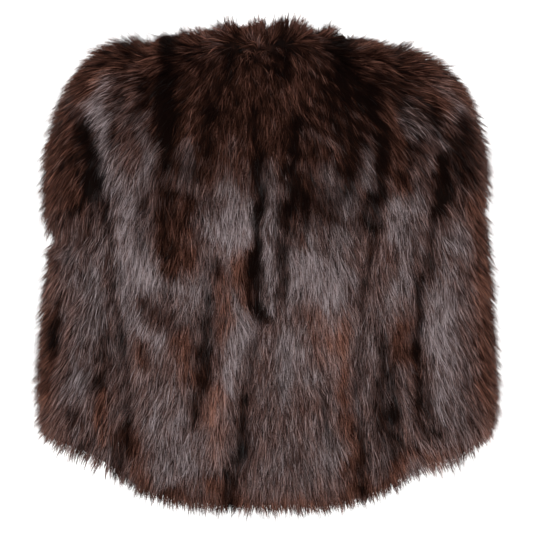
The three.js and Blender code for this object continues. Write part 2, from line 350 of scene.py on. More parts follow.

# The lighter and greyer ones: painted sheen and painted light, where the pile turns to the light.
SHEEN = (
    Stroke(-45, -122, -35, -181, 20, 0.22, 0.5),
    Stroke(-71, -168, -27, -188, 18, 0.17, 0.5),
    Stroke(-96, -76, -88, -155, 11, 0.1, 0.35),
    Stroke(-45, -63, -48, -115, 9, 0.085, 0.15),
    Stroke(5, -94, 10, -185, 9, 0.15, 0.4),
    Stroke(4, -198, 4, -259, 7, 0.19, 0.4),
    Stroke(42, -212, 75, -244, 23, 0.24, 0.5),
    Stroke(88, -183, 95, -237, 11, 0.12, 0.4),
    Stroke(53, -198, 38, -259, 15, 0.085, 0.2),
    Stroke(212, -252, 221, -368, 17, 0.13, 0.35),
    Stroke(75, -100, 81, -132, 13, 0.1, 0.35),
    Stroke(118, -76, 125, -115, 11, 0.17, 0.5),
    Stroke(99, -143, 102, -146, 12, 0.068, 0.4),
    Stroke(156, -134, 156, -183, 12, 0.2, 0.5),
    Stroke(180, -143, 165, -240, 12, 0.1, 0.3),
    Stroke(-40, -314, -47, -366, 11, 0.21, 0.4),
    Stroke(-35, -277, -30, -314, 9, 0.1, 0.3),
    Stroke(-132, -405, -126, -468, 16, 0.068, 0.25),
    Stroke(-102, -411, -96, -464, 12, 0.1, 0.35),
    Stroke(38, -307, 58, -356, 15, 0.085, 0.2),
    Stroke(23, -301, 21, -381, 9, 0.043, 0.35),
    Stroke(-202, 4, -209, -39, 11, 0.21, 0.5),
    Stroke(-210, -39, -199, -66, 11, 0.17, 0.5),
    Stroke(-206, -76, -199, -124, 11, 0.14, 0.5),
    Stroke(-182, -98, -169, -161, 15, 0.085, 0.35),
    Stroke(-170, -167, -168, -212, 13, 0.17, 0.3),
    Stroke(-157, -212, -143, -237, 15, 0.21, 0.5),
    Stroke(-168, -240, -163, -295, 11, 0.13, 0.4),
    Stroke(-149, -305, -137, -310, 12, 0.14, 0.35),
    Stroke(-148, -45, -145, -118, 11, 0.051, 0.35),
    Stroke(-230, -350, -229, -375, 11, 0.1, 0.45),
    Stroke(-236, -277, -237, -322, 10, 0.051, 0.2),
    Stroke(-212, -240, -209, -283, 11, 0.017, 0.35),
    Stroke(-242, -204, -240, -228, 11, 0.034, 0.4),
    Stroke(209, -259, 215, -320, 20, 0.15, 0.35),
    Stroke(231, -189, 241, -198, 15, 0.12, 0.4),
    Stroke(210, -381, 224, -400, 15, 0.085, 0.35),
    Stroke(228, 5, 231, -33, 13, 0.13, 0.1),
    Stroke(209, -51, 219, -76, 6, 0.085, 0.4),
    Stroke(169, -41, 180, -59, 13, 0.051, 0.35),
    Stroke(121, 46, 143, 46, 10, 0.14, 0.3),
    Stroke(75, -429, 82, -466, 9, 0.043, 0.25),
    Stroke(187, -124, 190, -137, 10, 0.043, 0.35),
    Stroke(-142, -228, -88, -246, 17, 0.051, 0.2),
    Stroke(-150, -312, -155, -350, 11, 0.1, 0),
    Stroke(-64, -372, -66, -410, 11, 0.18, 0),
    Stroke(82, -285, 82, -320, 11, 0.15, 0),
    Stroke(200, -430, 205, -468, 12, 0.12, 0),
    Stroke(141, 38, 146, 30, 10, 0.15, 0),
    Stroke(-66, -150, -62, -205, 12, 0.08, 0),
    Stroke(22, -150, 22, -180, 8, 0.1, 0),
    Stroke(141, -192, 141, -212, 9, 0.09, 0),
    Stroke(-5, -282, -5, -322, 8, 0.09, 0),
    Stroke(-158, -310, -168, -350, 14, 0.07, 0),
    Stroke(-35, -455, -37, -472, 8, 0.09, 0),
)

# The browner ones, with less painted sheen, some also darker with painted shade, as on the middle of
# the collar, and three light ones on the collar.
WARMTH_AND_SHADE = (
    Stroke(-90, -3, 99, -3, 80, -0.255, -0.6),
    Stroke(-88, 24, -93, -76, 10, 0.07, 0),
    Stroke(-23, -12, -15, 16, 9, 0.06, 0),
    Stroke(35, 27, 31, -17, 9, 0.13, 0),
    Stroke(-26, 58, 26, 36, 20, -0.07, -0.6),
    Stroke(-205, 40, -140, 60, 16, 0, -0.5),
    Stroke(130, 42, 205, 28, 16, 0, -0.5),
    Stroke(235, 8, 262, -30, 11, 0, -0.4),
    Stroke(-35, -190, -38, -238, 12, 0.01, -0.35),
    Stroke(60, -260, 72, -330, 18, 0.01, -0.2),
    Stroke(-238, 10, -215, -10, 14, 0, -0.4),
    Stroke(-101, -154, -110, -220, 20, -0.17, -0.6),
    Stroke(-25, -200, -20, -259, 11, -0.06, -0.4),
    Stroke(159, -76, 162, -124, 11, -0.1, -0.45),
    Stroke(146, -22, 156, -66, 10, 0.04, -0.4),
    Stroke(-249, -45, -242, -143, 18, -0.1, -0.4),
    Stroke(-191, 37, -225, 12, 20, -0.08, -0.7),
    Stroke(-147, 46, -135, 44, 12, 0, -0.4),
    Stroke(-106, -307, -96, -346, 16, -0.02, -0.5),
    Stroke(-64, -368, -64, -444, 10, 0.1, -0.2),
    Stroke(-57, -246, -49, -295, 11, 0.02, -0.4),
    Stroke(93, -289, 95, -383, 10, 0.06, -0.35),
    Stroke(165, -293, 168, -334, 11, -0.08, -0.5),
    Stroke(199, -5, 209, -20, 10, 0.04, -0.5),
    Stroke(265, -246, 269, -390, 10, 0, -0.5),
    Stroke(256, -137, 263, -234, 10, 0, -0.4),
    Stroke(-269, -283, -273, -387, 10, -0.03, -0.45),
    Stroke(-267, -76, -267, -155, 7, -0.02, -0.4),
    Stroke(-169, -429, -145, -478, 11, -0.04, -0.35),
    Stroke(-145, -498, -35, -512, 11, -0.04, -0.35),
    Stroke(-35, -512, 93, -512, 10, -0.03, -0.4),
    Stroke(99, -503, 160, -476, 11, -0.04, -0.35),
    Stroke(167, -466, 258, -439, 11, -0.02, -0.4),
    Stroke(-267, -432, -184, -478, 11, -0.03, -0.35),
    Stroke(-77, -478, -35, -500, 11, -0.06, -0.4),
    Stroke(-201, -381, -198, -429, 10, -0.03, -0.4),
    Stroke(102, -405, 104, -466, 10, -0.02, -0.4),
    Stroke(38, -387, 46, -399, 10, -0.05, -0.2),
)

# Plainer ones of all three kinds for the front, which the photo doesn't show.
# The dark ones are painted shade in the front folds, the light grey ones painted sheen, and the browner
# ones have less painted sheen.
FRONT_STROKES = (
    Stroke(-122, -180, -126, -420, 11, -0.26, -0.2),
    Stroke(122, -170, 120, -420, 11, -0.26, -0.2),
    Stroke(-206, -120, -202, -400, 10, -0.22, -0.1),
    Stroke(208, -140, 211, -390, 10, -0.22, -0.1),
    Stroke(-84, -120, -70, -230, 22, 0.16, 0.4),
    Stroke(80, -190, 86, -310, 22, 0.18, 0.4),
    Stroke(-160, -250, -165, -350, 20, 0.12, 0.35),
    Stroke(170, -110, 172, -220, 18, 0.12, 0.35),
    Stroke(-225, -150, -240, -330, 14, -0.05, -0.4),
    Stroke(232, -250, 244, -360, 14, -0.05, -0.4),
    Stroke(-55, -300, -52, -410, 16, -0.04, -0.4),
    Stroke(48, -350, 50, -410, 16, 0.08, 0.3),
    Stroke(-90, -60, 90, -60, 50, -0.14, -0.5),
)


def unit(vectors: np.ndarray) -> np.ndarray:
    """Vectors scaled to length one, along the last axis."""
    return vectors / np.maximum(np.linalg.norm(vectors, axis=-1, keepdims=True), 1e-9)


def smoothstep(value: np.ndarray, low: float, high: float) -> np.ndarray:
    """A smooth step from 0 at low to 1 at high: 3t squared less 2t cubed."""
    t = np.clip((value - low) / (high - low), 0.0, 1.0)
    return t * t * (3 - 2 * t)


def run_along(lines: np.ndarray) -> np.ndarray:
    """The length run from the start of each line to each of its points, for lines (n, k, 3)."""
    steps = np.linalg.norm(np.diff(lines, axis=1), axis=-1)
    return np.concatenate([np.zeros((len(lines), 1)), steps.cumsum(1)], 1)


@dataclass
class Waves:
    """Smooth noise over space, as a sum of sine waves of random directions.

    Each octave adds waves of about half the length and half the height of the last. pace_range is how far
    a wave's pace may be from the mean, and the sum is divided by the root of waves_each times spread.
    """

    length: float
    octaves: int = 2
    seed: int = SEED
    waves_each: int = 9
    pace_range: tuple[float, float] = (0.6, 1.4)
    spread: float = 1.4

    def __call__(self, points: np.ndarray) -> np.ndarray:
        """The noise at each point.

        Args:
            points: places in millimetres, (n, 3).

        Returns:
            Values mostly between -1 and 1, (n,).
        """
        rng = np.random.default_rng(self.seed)
        total = np.zeros(len(points))
        for octave in range(self.octaves):
            directions = unit(rng.normal(size=(self.waves_each, 3)))
            pace = 2 * math.pi * 2**octave / self.length * rng.uniform(*self.pace_range, self.waves_each)
            phase = rng.uniform(0, 2 * math.pi, self.waves_each)
            total += np.sin(points @ (directions * pace[:, None]).T + phase).sum(1) / 2**octave
        return total / math.sqrt(self.waves_each * self.spread)


@dataclass
class Surface:
    """A curved face as a grid, read between its points in straight lines.

    points run over a across and b down, and lie is the unit direction of growing b.
    """

    points: np.ndarray
    outward: np.ndarray
    lie: np.ndarray

    @classmethod
    def from_points(cls, points: np.ndarray) -> "Surface":
        """A surface from its points: lie is the step down, and outward is down crossed with across.

        Args:
            points: the grid's points, (across, down, 3).

        Returns:
            The surface on that grid.
        """
        across = unit(np.gradient(points, axis=0))
        down = unit(np.gradient(points, axis=1))
        return cls(points, unit(np.cross(down, across)), down)

    def at(self, a: np.ndarray, b: np.ndarray) -> tuple[np.ndarray, np.ndarray, np.ndarray]:
        """Point, outward direction and lie at grid places a, b, which may fall between the grid's own.

        Args:
            a: grid places across, (n,).
            b: grid places down, (n,).

        Returns:
            Points, outward directions and lies, each (n, 3).
        """
        rows, columns = self.points.shape[:2]
        i = np.clip(a.astype(int), 0, rows - 2)
        j = np.clip(b.astype(int), 0, columns - 2)
        s, t = (a - i)[:, None], (b - j)[:, None]
        mixed = []
        for grid in (self.points, self.outward, self.lie):
            upper = grid[i, j] * (1 - s) + grid[i + 1, j] * s
            lower = grid[i, j + 1] * (1 - s) + grid[i + 1, j + 1] * s
            mixed.append(upper * (1 - t) + lower * t)
        return mixed[0], unit(mixed[1]), unit(mixed[2])

    def cell_areas(self) -> np.ndarray:
        """The area of each grid cell, in square millimetres, from its two diagonals."""
        p = self.points
        return np.linalg.norm(np.cross(p[1:, 1:] - p[:-1, :-1], p[1:, :-1] - p[:-1, 1:]), axis=-1) / 2


@dataclass
class WrapForm:
    """The wrap's outer fur face, by c across it and v down it, in millimetres.

    c runs from 0 at the left front edge to 5 at the right one, and its whole numbers are seams. v counts
    the rings from the neck, and runs past the last one for hair that hangs over the hem.
    """

    rings: tuple[Ring, ...] = RINGS
    hem_corners: tuple[HemCorner, ...] = HEM_CORNERS
    hem_corner_ring: float = 8.0
    hem_corner_fade: float = 0.4
    folds: tuple[Fold, ...] = FOLDS
    creases: tuple[Crease, ...] = CREASES
    front_opening: float = 50.0
    front_seam_deg: float = 130.0
    fall_power: float = 2.5
    fold_fade: float = 45.0

    def ring_value(self, column: str, v: np.ndarray) -> np.ndarray:
        """A smooth cubic through one column of the ring table, with slopes from the rows on either side.

        Args:
            column: the ring's field.
            v: places down the wrap, in any shape.

        Returns:
            The field's value at each place, in the shape of v.
        """
        table = np.array([getattr(ring, column) for ring in self.rings])
        last = len(table) - 1
        first = np.clip(np.floor(v).astype(int), 0, last - 1)
        t = v - first
        a, b, c, d = (table[np.clip(first + k, 0, last)] for k in (-1, 0, 1, 2))
        slope_in, slope_out = (c - a) / 2, (d - b) / 2
        bend = 3 * (c - b) - 2 * slope_in - slope_out
        twist = 2 * (b - c) + slope_in + slope_out
        return b + t * (slope_in + t * (bend + t * twist))

    def angle(self, c: np.ndarray, v: np.ndarray) -> np.ndarray:
        """The angle from the middle of the back, in even steps between the front edges and the seams.

        Args:
            c: places across the wrap, in any shape.
            v: places down it, in the same shape.

        Returns:
            Angles in radians, below 0 on the left, in the shape of c.
        """
        edge = math.pi - np.arctan2(self.front_opening / 2, self.ring_value("front", v))
        front = np.full_like(edge, math.radians(self.front_seam_deg))
        back = np.radians(self.ring_value("seam", v))
        stations = np.stack([-edge, -front, -back, back, front, edge])
        panel = np.clip(np.floor(c).astype(int), 0, 4)
        low = np.take_along_axis(stations, panel[None], 0)[0]
        high = np.take_along_axis(stations, panel[None] + 1, 0)[0]
        return low + (high - low) * (c - panel)

    def smooth_point(self, c: np.ndarray, v: np.ndarray) -> np.ndarray:
        """A point before its folds.

        The ring is a rounded rectangle: the reach at an angle is one over the power-mean of sin over its
        half-width and cos over its half-depth. Its height goes from the middle's to the side's with the
        share of the half-width, raised to fall_power.

        Args:
            c: places across the wrap, in any shape.
            v: places down it, in the same shape.

        Returns:
            Points in millimetres, in the shape of c with one axis of 3 more.
        """
        angle = self.angle(c, v)
        sin, cos = np.sin(angle), np.cos(angle)
        wide = np.where(sin < 0, self.ring_value("left", v), self.ring_value("right", v))
        deep = np.where(cos > 0, self.ring_value("back", v), self.ring_value("front", v))
        power = self.ring_value("power", v)
        reach = (np.abs(sin / wide) ** power + np.abs(cos / deep) ** power) ** (-1 / power)
        x = reach * sin
        share = (np.abs(x) / wide) ** self.fall_power
        middle = np.where(cos > 0, self.ring_value("z_back", v), self.ring_value("z_front", v))
        side = np.where(sin < 0, self.ring_value("z_left", v), self.ring_value("z_right", v))
        low = smoothstep(v, self.hem_corner_ring, len(self.rings) - 1)
        low = low * smoothstep(cos, 0, self.hem_corner_fade)
        corners = self.hem_corners
        rise = sum(row.rise * np.exp(-(((row.side * x - row.x) / row.width) ** 2)) for row in corners)
        return np.stack([x, -reach * cos, middle + (side - middle) * share + low * rise], axis=-1)

    def sunk(self, points: np.ndarray) -> np.ndarray:
        """How deep the folds and creases sink the face: a bell across each line, faded at its two ends.

        Args:
            points: places in millimetres, with a last axis of 3.

        Returns:
            Depths in millimetres.
        """
        x, y, z = points[..., 0], points[..., 1], points[..., 2]
        half = self.fold_fade / 2
        depth = np.zeros_like(x)
        for fold in self.folds:
            line = fold.x0 + (fold.x1 - fold.x0) * (z - fold.z0) / (fold.z1 - fold.z0)
            ends = smoothstep(fold.z0 - z, -half, half) * smoothstep(z - fold.z1, -half, half)
            bell = np.exp(-(((x - line) / fold.width) ** 2))
            depth += fold.depth * ends * bell * (y * fold.side.value > 0)
        for crease in self.creases:
            outside = smoothstep(crease.arm * x, *ARM_REACH)
            line = crease.z + crease.fall * (1 - outside)
            depth += crease.depth * outside * np.exp(-(((z - line) / crease.width) ** 2))
        return depth

    def surface(self, c: np.ndarray, v: np.ndarray, height: float) -> Surface:
        """The face moved out by height, folds and all, over the grid of places c and v.

        Its directions are taken from a grid one column wider on either side, so that two panels meet
        along their seam in the same directions.

        Args:
            c: even places across the wrap.
            v: places down it.
            height: how far outside the fur face the surface lies, in millimetres.

        Returns:
            The surface, on a grid of c by v.
        """
        step = c[1] - c[0]
        wider = np.concatenate([[c[0] - step], c, [c[-1] + step]])
        grid_c, grid_v = np.meshgrid(wider, v, indexing="ij")
        base = self.smooth_point(grid_c, grid_v)
        smooth = Surface.from_points(base)
        moved = Surface.from_points(base + smooth.outward * (height - self.sunk(base))[..., None])
        return Surface(moved.points[1:-1], moved.outward[1:-1], moved.lie[1:-1])


@dataclass
class CollarForm:
    """The collar's outer fur face, by c across it and w along its section, in millimetres.

    w runs from the foot of the stand inside the neck, up over the roll and down the fall to its edge. Walls
    and reaches are measured over the wrap, which is followed in fine_steps for each of its first
    fine_rings rings. crowns are the roll's points: how far over it they lie and how far below its top.
    """

    wrap: WrapForm
    rows: tuple[CollarRow, ...] = COLLAR_ROWS
    lift: float = 1.8
    wall: float = 15.0
    edge_wall: float = 8.0
    stand: float = 16.0
    wrap_wall: float = 20.0
    roll_reach: float = 16.0
    roll_fill: float = 10.0
    roll_fill_reach: float = 34.0
    roll_drop: float = 9.0
    fall_rows: int = 9
    fine_rings: int = 6
    fine_steps: int = 40
    crowns: tuple[tuple[float, float], ...] = ((0.2, 2.0), (0.5, 0.0), (0.8, 4.5))
    smooth_steps: int = 12

    def value(self, column: str, deg: np.ndarray) -> np.ndarray:
        """One column of the collar table at the angles, half way between straight and smooth steps.

        Args:
            column: the collar row's field.
            deg: angles from the middle of the back, in degrees, (n,).

        Returns:
            The field's value at each angle, (n,).
        """
        degs = np.array([row.deg for row in self.rows])
        table = np.array([getattr(row, column) for row in self.rows])
        first = np.clip(np.searchsorted(degs, deg, side="right") - 1, 0, len(degs) - 2)
        t = (deg - degs[first]) / (degs[first + 1] - degs[first])
        eased = (t + t * t * (3 - 2 * t)) / 2
        return table[first] + (table[first + 1] - table[first]) * eased

    def section(self, c: np.ndarray) -> np.ndarray:
        """The outer points of the section at each c, from the foot of the stand to the edge of the fall.

        The fall stands off the wrap by its wall, which thins to the edge with the cube of the distance,
        and by a bell of fill near the roll. The stand is the neck seam moved towards the neck.

        Args:
            c: places across the collar, (n,).

        Returns:
            Points in millimetres, (n, 5 + fall_rows, 3).
        """
        v_fine = np.linspace(0, self.fine_rings, self.fine_rings * self.fine_steps + 1)
        strip = self.wrap.surface(c, v_fine, 0.0)
        smooth = self.wrap.smooth_point(*np.meshgrid(c, v_fine, indexing="ij"))
        run = run_along(smooth)
        angle = self.wrap.angle(c, np.zeros_like(c))
        deg = np.abs(np.degrees(angle))
        reach = np.where(angle < 0, self.value("left", deg), self.value("right", deg))
        top = self.value("roll", deg)
        share = np.linspace(0, 1, self.fall_rows)
        distance = self.roll_reach + (reach[:, None] - self.roll_reach) * share
        place = (run[:, None, :] < distance[:, :, None]).sum(2).clip(1, len(v_fine) - 1)
        index = np.arange(len(c))[:, None]
        before, after = run[index, place - 1], run[index, place]
        t = ((distance - before) / np.maximum(after - before, 1e-9))[..., None]
        wall = self.wall + (self.edge_wall - self.wall) * (distance / reach[:, None]) ** 3
        height = self.lift + wall + self.roll_fill * np.exp(-((distance / self.roll_fill_reach) ** 2))
        on = strip.points[index, place - 1] * (1 - t) + strip.points[index, place] * t
        fall = on + strip.outward[index, place] * height[..., None]
        foot = strip.points[:, 0] - strip.outward[:, 0] * self.wrap_wall - strip.lie[:, 0] * self.stand
        away = unit(strip.points[:, 0] * [1, 1, 0])
        roll_from = np.stack([foot[:, 0], foot[:, 1], top - self.roll_drop], axis=-1)
        over = np.linalg.norm((fall[:, 0] - roll_from)[:, :2], axis=-1)
        roll = [roll_from + away * (over * part)[:, None] for part, _ in self.crowns]
        for point, (_, drop) in zip(roll, self.crowns):
            point[:, 2] = top - drop
        return np.concatenate([np.stack([foot, roll_from, *roll], axis=1), fall], axis=1)

    def surface(self, c: np.ndarray, steps: int, height: float) -> Surface:
        """The collar's face moved out by height, at even steps along its section.

        The section's points are joined in straight lines, spaced evenly along them and then each evened
        out with its neighbours, which rounds the roll.

        Args:
            c: places across the collar, (n,).
            steps: how many points each section gets.
            height: how far outside the fur face the surface lies, in millimetres.

        Returns:
            The surface, on a grid of c by steps.
        """
        path = self.section(c)
        run = run_along(path)
        wanted = np.linspace(0, 1, steps) * run[:, -1:]
        place = (run[:, None, :] < wanted[:, :, None]).sum(2).clip(1, path.shape[1] - 1)
        index = np.arange(len(c))[:, None]
        before, after = run[index, place - 1], run[index, place]
        t = ((wanted - before) / (after - before))[..., None]
        points = path[index, place - 1] * (1 - t) + path[index, place] * t
        for _ in range(max(1, steps // self.smooth_steps)):
            points[:, 1:-1] = (points[:, :-2] + 2 * points[:, 1:-1] + points[:, 2:]) / 4
        even = Surface.from_points(points)
        return Surface.from_points(points + even.outward * height)


@dataclass
class StrokeField:
    """The tone of the fur, with its painted shade and painted light, and its painted sheen over the whole
    wrap, from the strokes.

    The back's strokes are laid on the wrap as they are seen from straight behind it, from the view
    distance and at the view height, and the front's as they are seen square on.
    """

    back: tuple[Stroke, ...] = VALLEY_SHADE + SHEEN + WARMTH_AND_SHADE
    front: tuple[Stroke, ...] = FRONT_STROKES
    view_distance: float = 3000.0
    view_height: float = -218.0
    blend: float = 25.0
    wander: tuple[float, float] = (4.0, 9.0)
    wander_length: float = 55.0
    unevenness: float = 0.36
    uneven_length: float = 18.0
    bell_power: float = 2.1

    def sums(self, points: np.ndarray) -> tuple[np.ndarray, np.ndarray]:
        """What the strokes add up to: each is a soft bell of the distance from its line.

        The lines wander by smooth noise across and along the fur, and their strength varies with it.

        Args:
            points: places in millimetres, (n, 3).

        Returns:
            What is added to the tone, as painted shade and painted light, and to the share of painted sheen
            hairs, each (n,).
        """
        x, y, z = points[:, 0], points[:, 1], points[:, 2]
        nearer = self.view_distance / (self.view_distance + y)
        seen = np.stack([x * nearer, self.view_height + (z - self.view_height) * nearer], axis=-1)
        behind = 1 - smoothstep(y, -self.blend, self.blend)
        sway = np.stack([Waves(self.wander_length, 2, SEED + 1 + k)(points) for k in range(2)], axis=-1)
        seen = seen + sway * self.wander
        square_on = points[:, [0, 2]] + sway * self.wander
        uneven = 1 + self.unevenness * Waves(self.uneven_length, 2, SEED + 3)(points)
        tone, painted_sheen = np.zeros(len(points)), np.zeros(len(points))
        for strokes, places, share in ((self.back, seen, behind), (self.front, square_on, 1 - behind)):
            for stroke in strokes:
                start = np.array([stroke.x0, stroke.z0])
                run = np.array([stroke.x1, stroke.z1]) - start
                along = np.clip((places - start) @ run / (run @ run), 0, 1)
                apart = np.linalg.norm(places - start - along[:, None] * run, axis=1) / stroke.width
                weight = np.exp(-(apart**self.bell_power)) * share * uneven
                tone += weight * stroke.tone
                painted_sheen += weight * stroke.painted_sheen
        return tone, painted_sheen


@dataclass(frozen=True)
class HairColour:
    """One family of hair colours: red, green and blue as shares of their mean, and the mean by tone.

    The shares go evenly from those of dark hair to those of light hair, the mean with a power of the tone.
    """

    dark_tint: tuple[float, float, float]
    light_tint: tuple[float, float, float]
    dark: float
    light: float
    power: float = 2.2

    def at(self, tone: np.ndarray) -> np.ndarray:
        """The colour at each tone.

        Args:
            tone: tones from 0 to 1, (n,).

        Returns:
            Colours as red, green and blue, (n, 3).
        """
        share = np.asarray(tone)[..., None]
        tint = np.array(self.dark_tint) * (1 - share) + np.array(self.light_tint) * share
        return tint * (self.dark + (self.light - self.dark) * share**self.power)


# Reddish brown hair, and greyer hair whose colour is painted sheen.
WARM_HAIR = HairColour((1.98, 0.64, 0.38), (1.66, 0.79, 0.55), 0.0018, 0.29)
SHEEN_HAIR = HairColour((1.26, 0.88, 0.86), (1.1, 0.935, 0.965), 0.0035, 0.49)


@dataclass(frozen=True)
class HairFinish:
    """The finish of matt or glossy hair: two families of colour, warm and painted sheen, by the hair's own
    map, and a gloss.
    """

    roughness: float
    specular: float
    warm: HairColour = WARM_HAIR
    painted_sheen: HairColour = SHEEN_HAIR
    stops: int = 9
    map_name: str = "OFBake"

    def material(self, name: str) -> bpy.types.Material:
        """The material: two ramps over u for the tone, warm and painted sheen, mixed by v.

        Args:
            name: the material's name.

        Returns:
            The new material.
        """
        made = bpy.data.materials.new(name)
        made.use_nodes = True
        nodes, links = made.node_tree.nodes, made.node_tree.links
        shader = nodes["Principled BSDF"]
        shader.inputs["Roughness"].default_value = self.roughness
        shader.inputs["Specular IOR Level"].default_value = self.specular
        places, apart = nodes.new("ShaderNodeUVMap"), nodes.new("ShaderNodeSeparateXYZ")
        places.uv_map = self.map_name
        mix = nodes.new("ShaderNodeMix")
        mix.data_type = "RGBA"
        stops = np.linspace(0, 1, self.stops)
        for colour, socket in ((self.warm, "A"), (self.painted_sheen, "B")):
            tone = nodes.new("ShaderNodeValToRGB")
            fill_ramp(tone.color_ramp, list(zip(stops, colour.at(stops))))
            links.new(apart.outputs["X"], tone.inputs["Fac"])
            links.new(tone.outputs["Color"], mix.inputs[socket])
        links.new(places.outputs["UV"], apart.inputs["Vector"])
        links.new(apart.outputs["Y"], mix.inputs["Factor"])
        links.new(mix.outputs["Result"], shader.inputs["Base Color"])
        return made


MATT_HAIR = HairFinish(0.6, 0.02)
GLOSSY_HAIR = HairFinish(0.42, 0.24)


@dataclass(frozen=True)
class UnderfurFinish:
    """The dense underfur on a pelt's face: its own painted colour, broken into fine streaks down it."""

    streaks_across_per_m: float = 1100.0
    streaks_along_per_m: float = 70.0
    dark_streak: float = 0.35
    light_streak: float = 1.25
    streak_spread: tuple[float, float] = (0.3, 0.7)
    depth: float = 0.0012
    bump: float = 0.7
    roughness: float = 0.8
    specular: float = 0.05
    map_name: str = "pelt"
    paint_name: str = "underfur"

    def material(self, name: str) -> bpy.types.Material:
        """The material: one stretched noise on the pelt's own map shades the paint and raises the bump.

        Args:
            name: the material's name.

        Returns:
            The new material.
        """
        made = bpy.data.materials.new(name)
        made.use_nodes = True
        nodes, links = made.node_tree.nodes, made.node_tree.links
        shader = nodes["Principled BSDF"]
        shader.inputs["Roughness"].default_value = self.roughness
        shader.inputs["Specular IOR Level"].default_value = self.specular
        places, stretch = nodes.new("ShaderNodeUVMap"), nodes.new("ShaderNodeMapping")
        places.uv_map = self.map_name
        stretch.inputs["Scale"].default_value = (self.streaks_across_per_m, self.streaks_along_per_m, 1)
        noise, shade = nodes.new("ShaderNodeTexNoise"), nodes.new("ShaderNodeValToRGB")
        noise.inputs["Scale"].default_value = 1.0
        noise.inputs["Detail"].default_value = 3.0
        low, high = self.streak_spread
        fill_ramp(shade.color_ramp, [(low, (self.dark_streak,) * 3), (high, (self.light_streak,) * 3)])
        paint, mix = nodes.new("ShaderNodeVertexColor"), nodes.new("ShaderNodeMix")
        bump = nodes.new("ShaderNodeBump")
        paint.layer_name = self.paint_name
        mix.data_type = "RGBA"
        mix.blend_type = "MULTIPLY"
        mix.inputs["Factor"].default_value = 1.0
        bump.inputs["Distance"].default_value = self.depth
        bump.inputs["Strength"].default_value = self.bump
        links.new(places.outputs["UV"], stretch.inputs["Vector"])
        links.new(stretch.outputs["Vector"], noise.inputs["Vector"])
        links.new(noise.outputs["Fac"], shade.inputs["Fac"])
        links.new(paint.outputs["Color"], mix.inputs["A"])
        links.new(shade.outputs["Color"], mix.inputs["B"])
        links.new(mix.outputs["Result"], shader.inputs["Base Color"])
        links.new(noise.outputs["Fac"], bump.inputs["Height"])
        links.new(bump.outputs["Normal"], shader.inputs["Normal"])
        return made


@dataclass(frozen=True)
class SuedeFinish:
    """The pelt's suede side: brown, uneven in tone, with a fine nap."""

    dark: tuple[float, float, float] = (0.034, 0.016, 0.010)
    light: tuple[float, float, float] = (0.062, 0.032, 0.020)
    patch_per_m: float = 14.0
    patch_spread: tuple[float, float] = (0.3, 0.7)
    nap_per_m: float = 1400.0
    nap_height: float = 0.0003
    nap_bump: float = 0.6
    roughness: float = 0.95
    specular: float = 0.2

    def material(self, name: str) -> bpy.types.Material:
        """The material: two noises on Object coordinates, one for tone and one for the nap's bump.

        Args:
            name: the material's name.

        Returns:
            The new material.
        """
        made = bpy.data.materials.new(name)
        made.use_nodes = True
        nodes, links = made.node_tree.nodes, made.node_tree.links
        shader = nodes["Principled BSDF"]
        shader.inputs["Roughness"].default_value = self.roughness
        shader.inputs["Specular IOR Level"].default_value = self.specular
        places = nodes.new("ShaderNodeTexCoord")
        patches, nap = nodes.new("ShaderNodeTexNoise"), nodes.new("ShaderNodeTexNoise")
        patches.inputs["Scale"].default_value = self.patch_per_m
        patches.inputs["Detail"].default_value = 4.0
        nap.inputs["Scale"].default_value = self.nap_per_m
        ramp, bump = nodes.new("ShaderNodeValToRGB"), nodes.new("ShaderNodeBump")
        low, high = self.patch_spread
        fill_ramp(ramp.color_ramp, [(low, self.dark), (high, self.light)])
        bump.inputs["Distance"].default_value = self.nap_height
        bump.inputs["Strength"].default_value = self.nap_bump
        for noise in (patches, nap):
            links.new(places.outputs["Object"], noise.inputs["Vector"])
        links.new(patches.outputs["Fac"], ramp.inputs["Fac"])
        links.new(ramp.outputs["Color"], shader.inputs["Base Color"])
        links.new(nap.outputs["Fac"], bump.inputs["Height"])
        links.new(bump.outputs["Normal"], shader.inputs["Normal"])
        return made


@dataclass
class Finishes:
    """The four materials of the wrap."""

    matt: bpy.types.Material
    glossy: bpy.types.Material
    underfur: bpy.types.Material
    suede: bpy.types.Material

    @classmethod
    def made(cls) -> "Finishes":
        """Makes them: two of hair, and one for each side of the pelts."""
        hair = MATT_HAIR.material("matt_hair"), GLOSSY_HAIR.material("glossy_hair")
        return cls(*hair, UnderfurFinish().material("underfur"), SuedeFinish().material("suede"))


def fill_ramp(ramp: bpy.types.ColorRamp, stops: list[tuple[float, tuple[float, ...]]]) -> None:
    """Sets a ramp's stops, from first to last.

    Args:
        ramp: a new ramp, which has two stops.
        stops: place and colour of each stop, in order.
    """
    ramp.elements[0].position, ramp.elements[1].position = stops[0][0], stops[-1][0]
    ramp.elements[0].color = (*stops[0][1], 1)
    ramp.elements[1].color = (*stops[-1][1], 1)
    for at, colour in stops[1:-1]:
        ramp.elements.new(at).color = (*colour, 1)


def add_mesh(name: str, points: np.ndarray, corners: np.ndarray, starts: np.ndarray) -> bpy.types.Object:
    """A mesh object from arrays, with its place in its mesh.

    Args:
        name: the piece's name.
        points: vertices in millimetres, (n, 3).
        corners: the vertex of every face corner, face after face.
        starts: where each face starts in corners.

    Returns:
        The linked object, smooth-shaded.
    """
    mesh = bpy.data.meshes.new(name)
    mesh.vertices.add(len(points))
    mesh.vertices.foreach_set("co", (points * MM).astype(np.float32).ravel())
    mesh.loops.add(len(corners))
    mesh.loops.foreach_set("vertex_index", corners.astype(np.int32))
    mesh.polygons.add(len(starts))
    mesh.polygons.foreach_set("loop_start", starts.astype(np.int32))
    mesh.polygons.foreach_set("use_smooth", np.ones(len(starts), bool))
    mesh.update(calc_edges=True)
    piece = bpy.data.objects.new(name, mesh)
    bpy.context.scene.collection.objects.link(piece)
    return piece


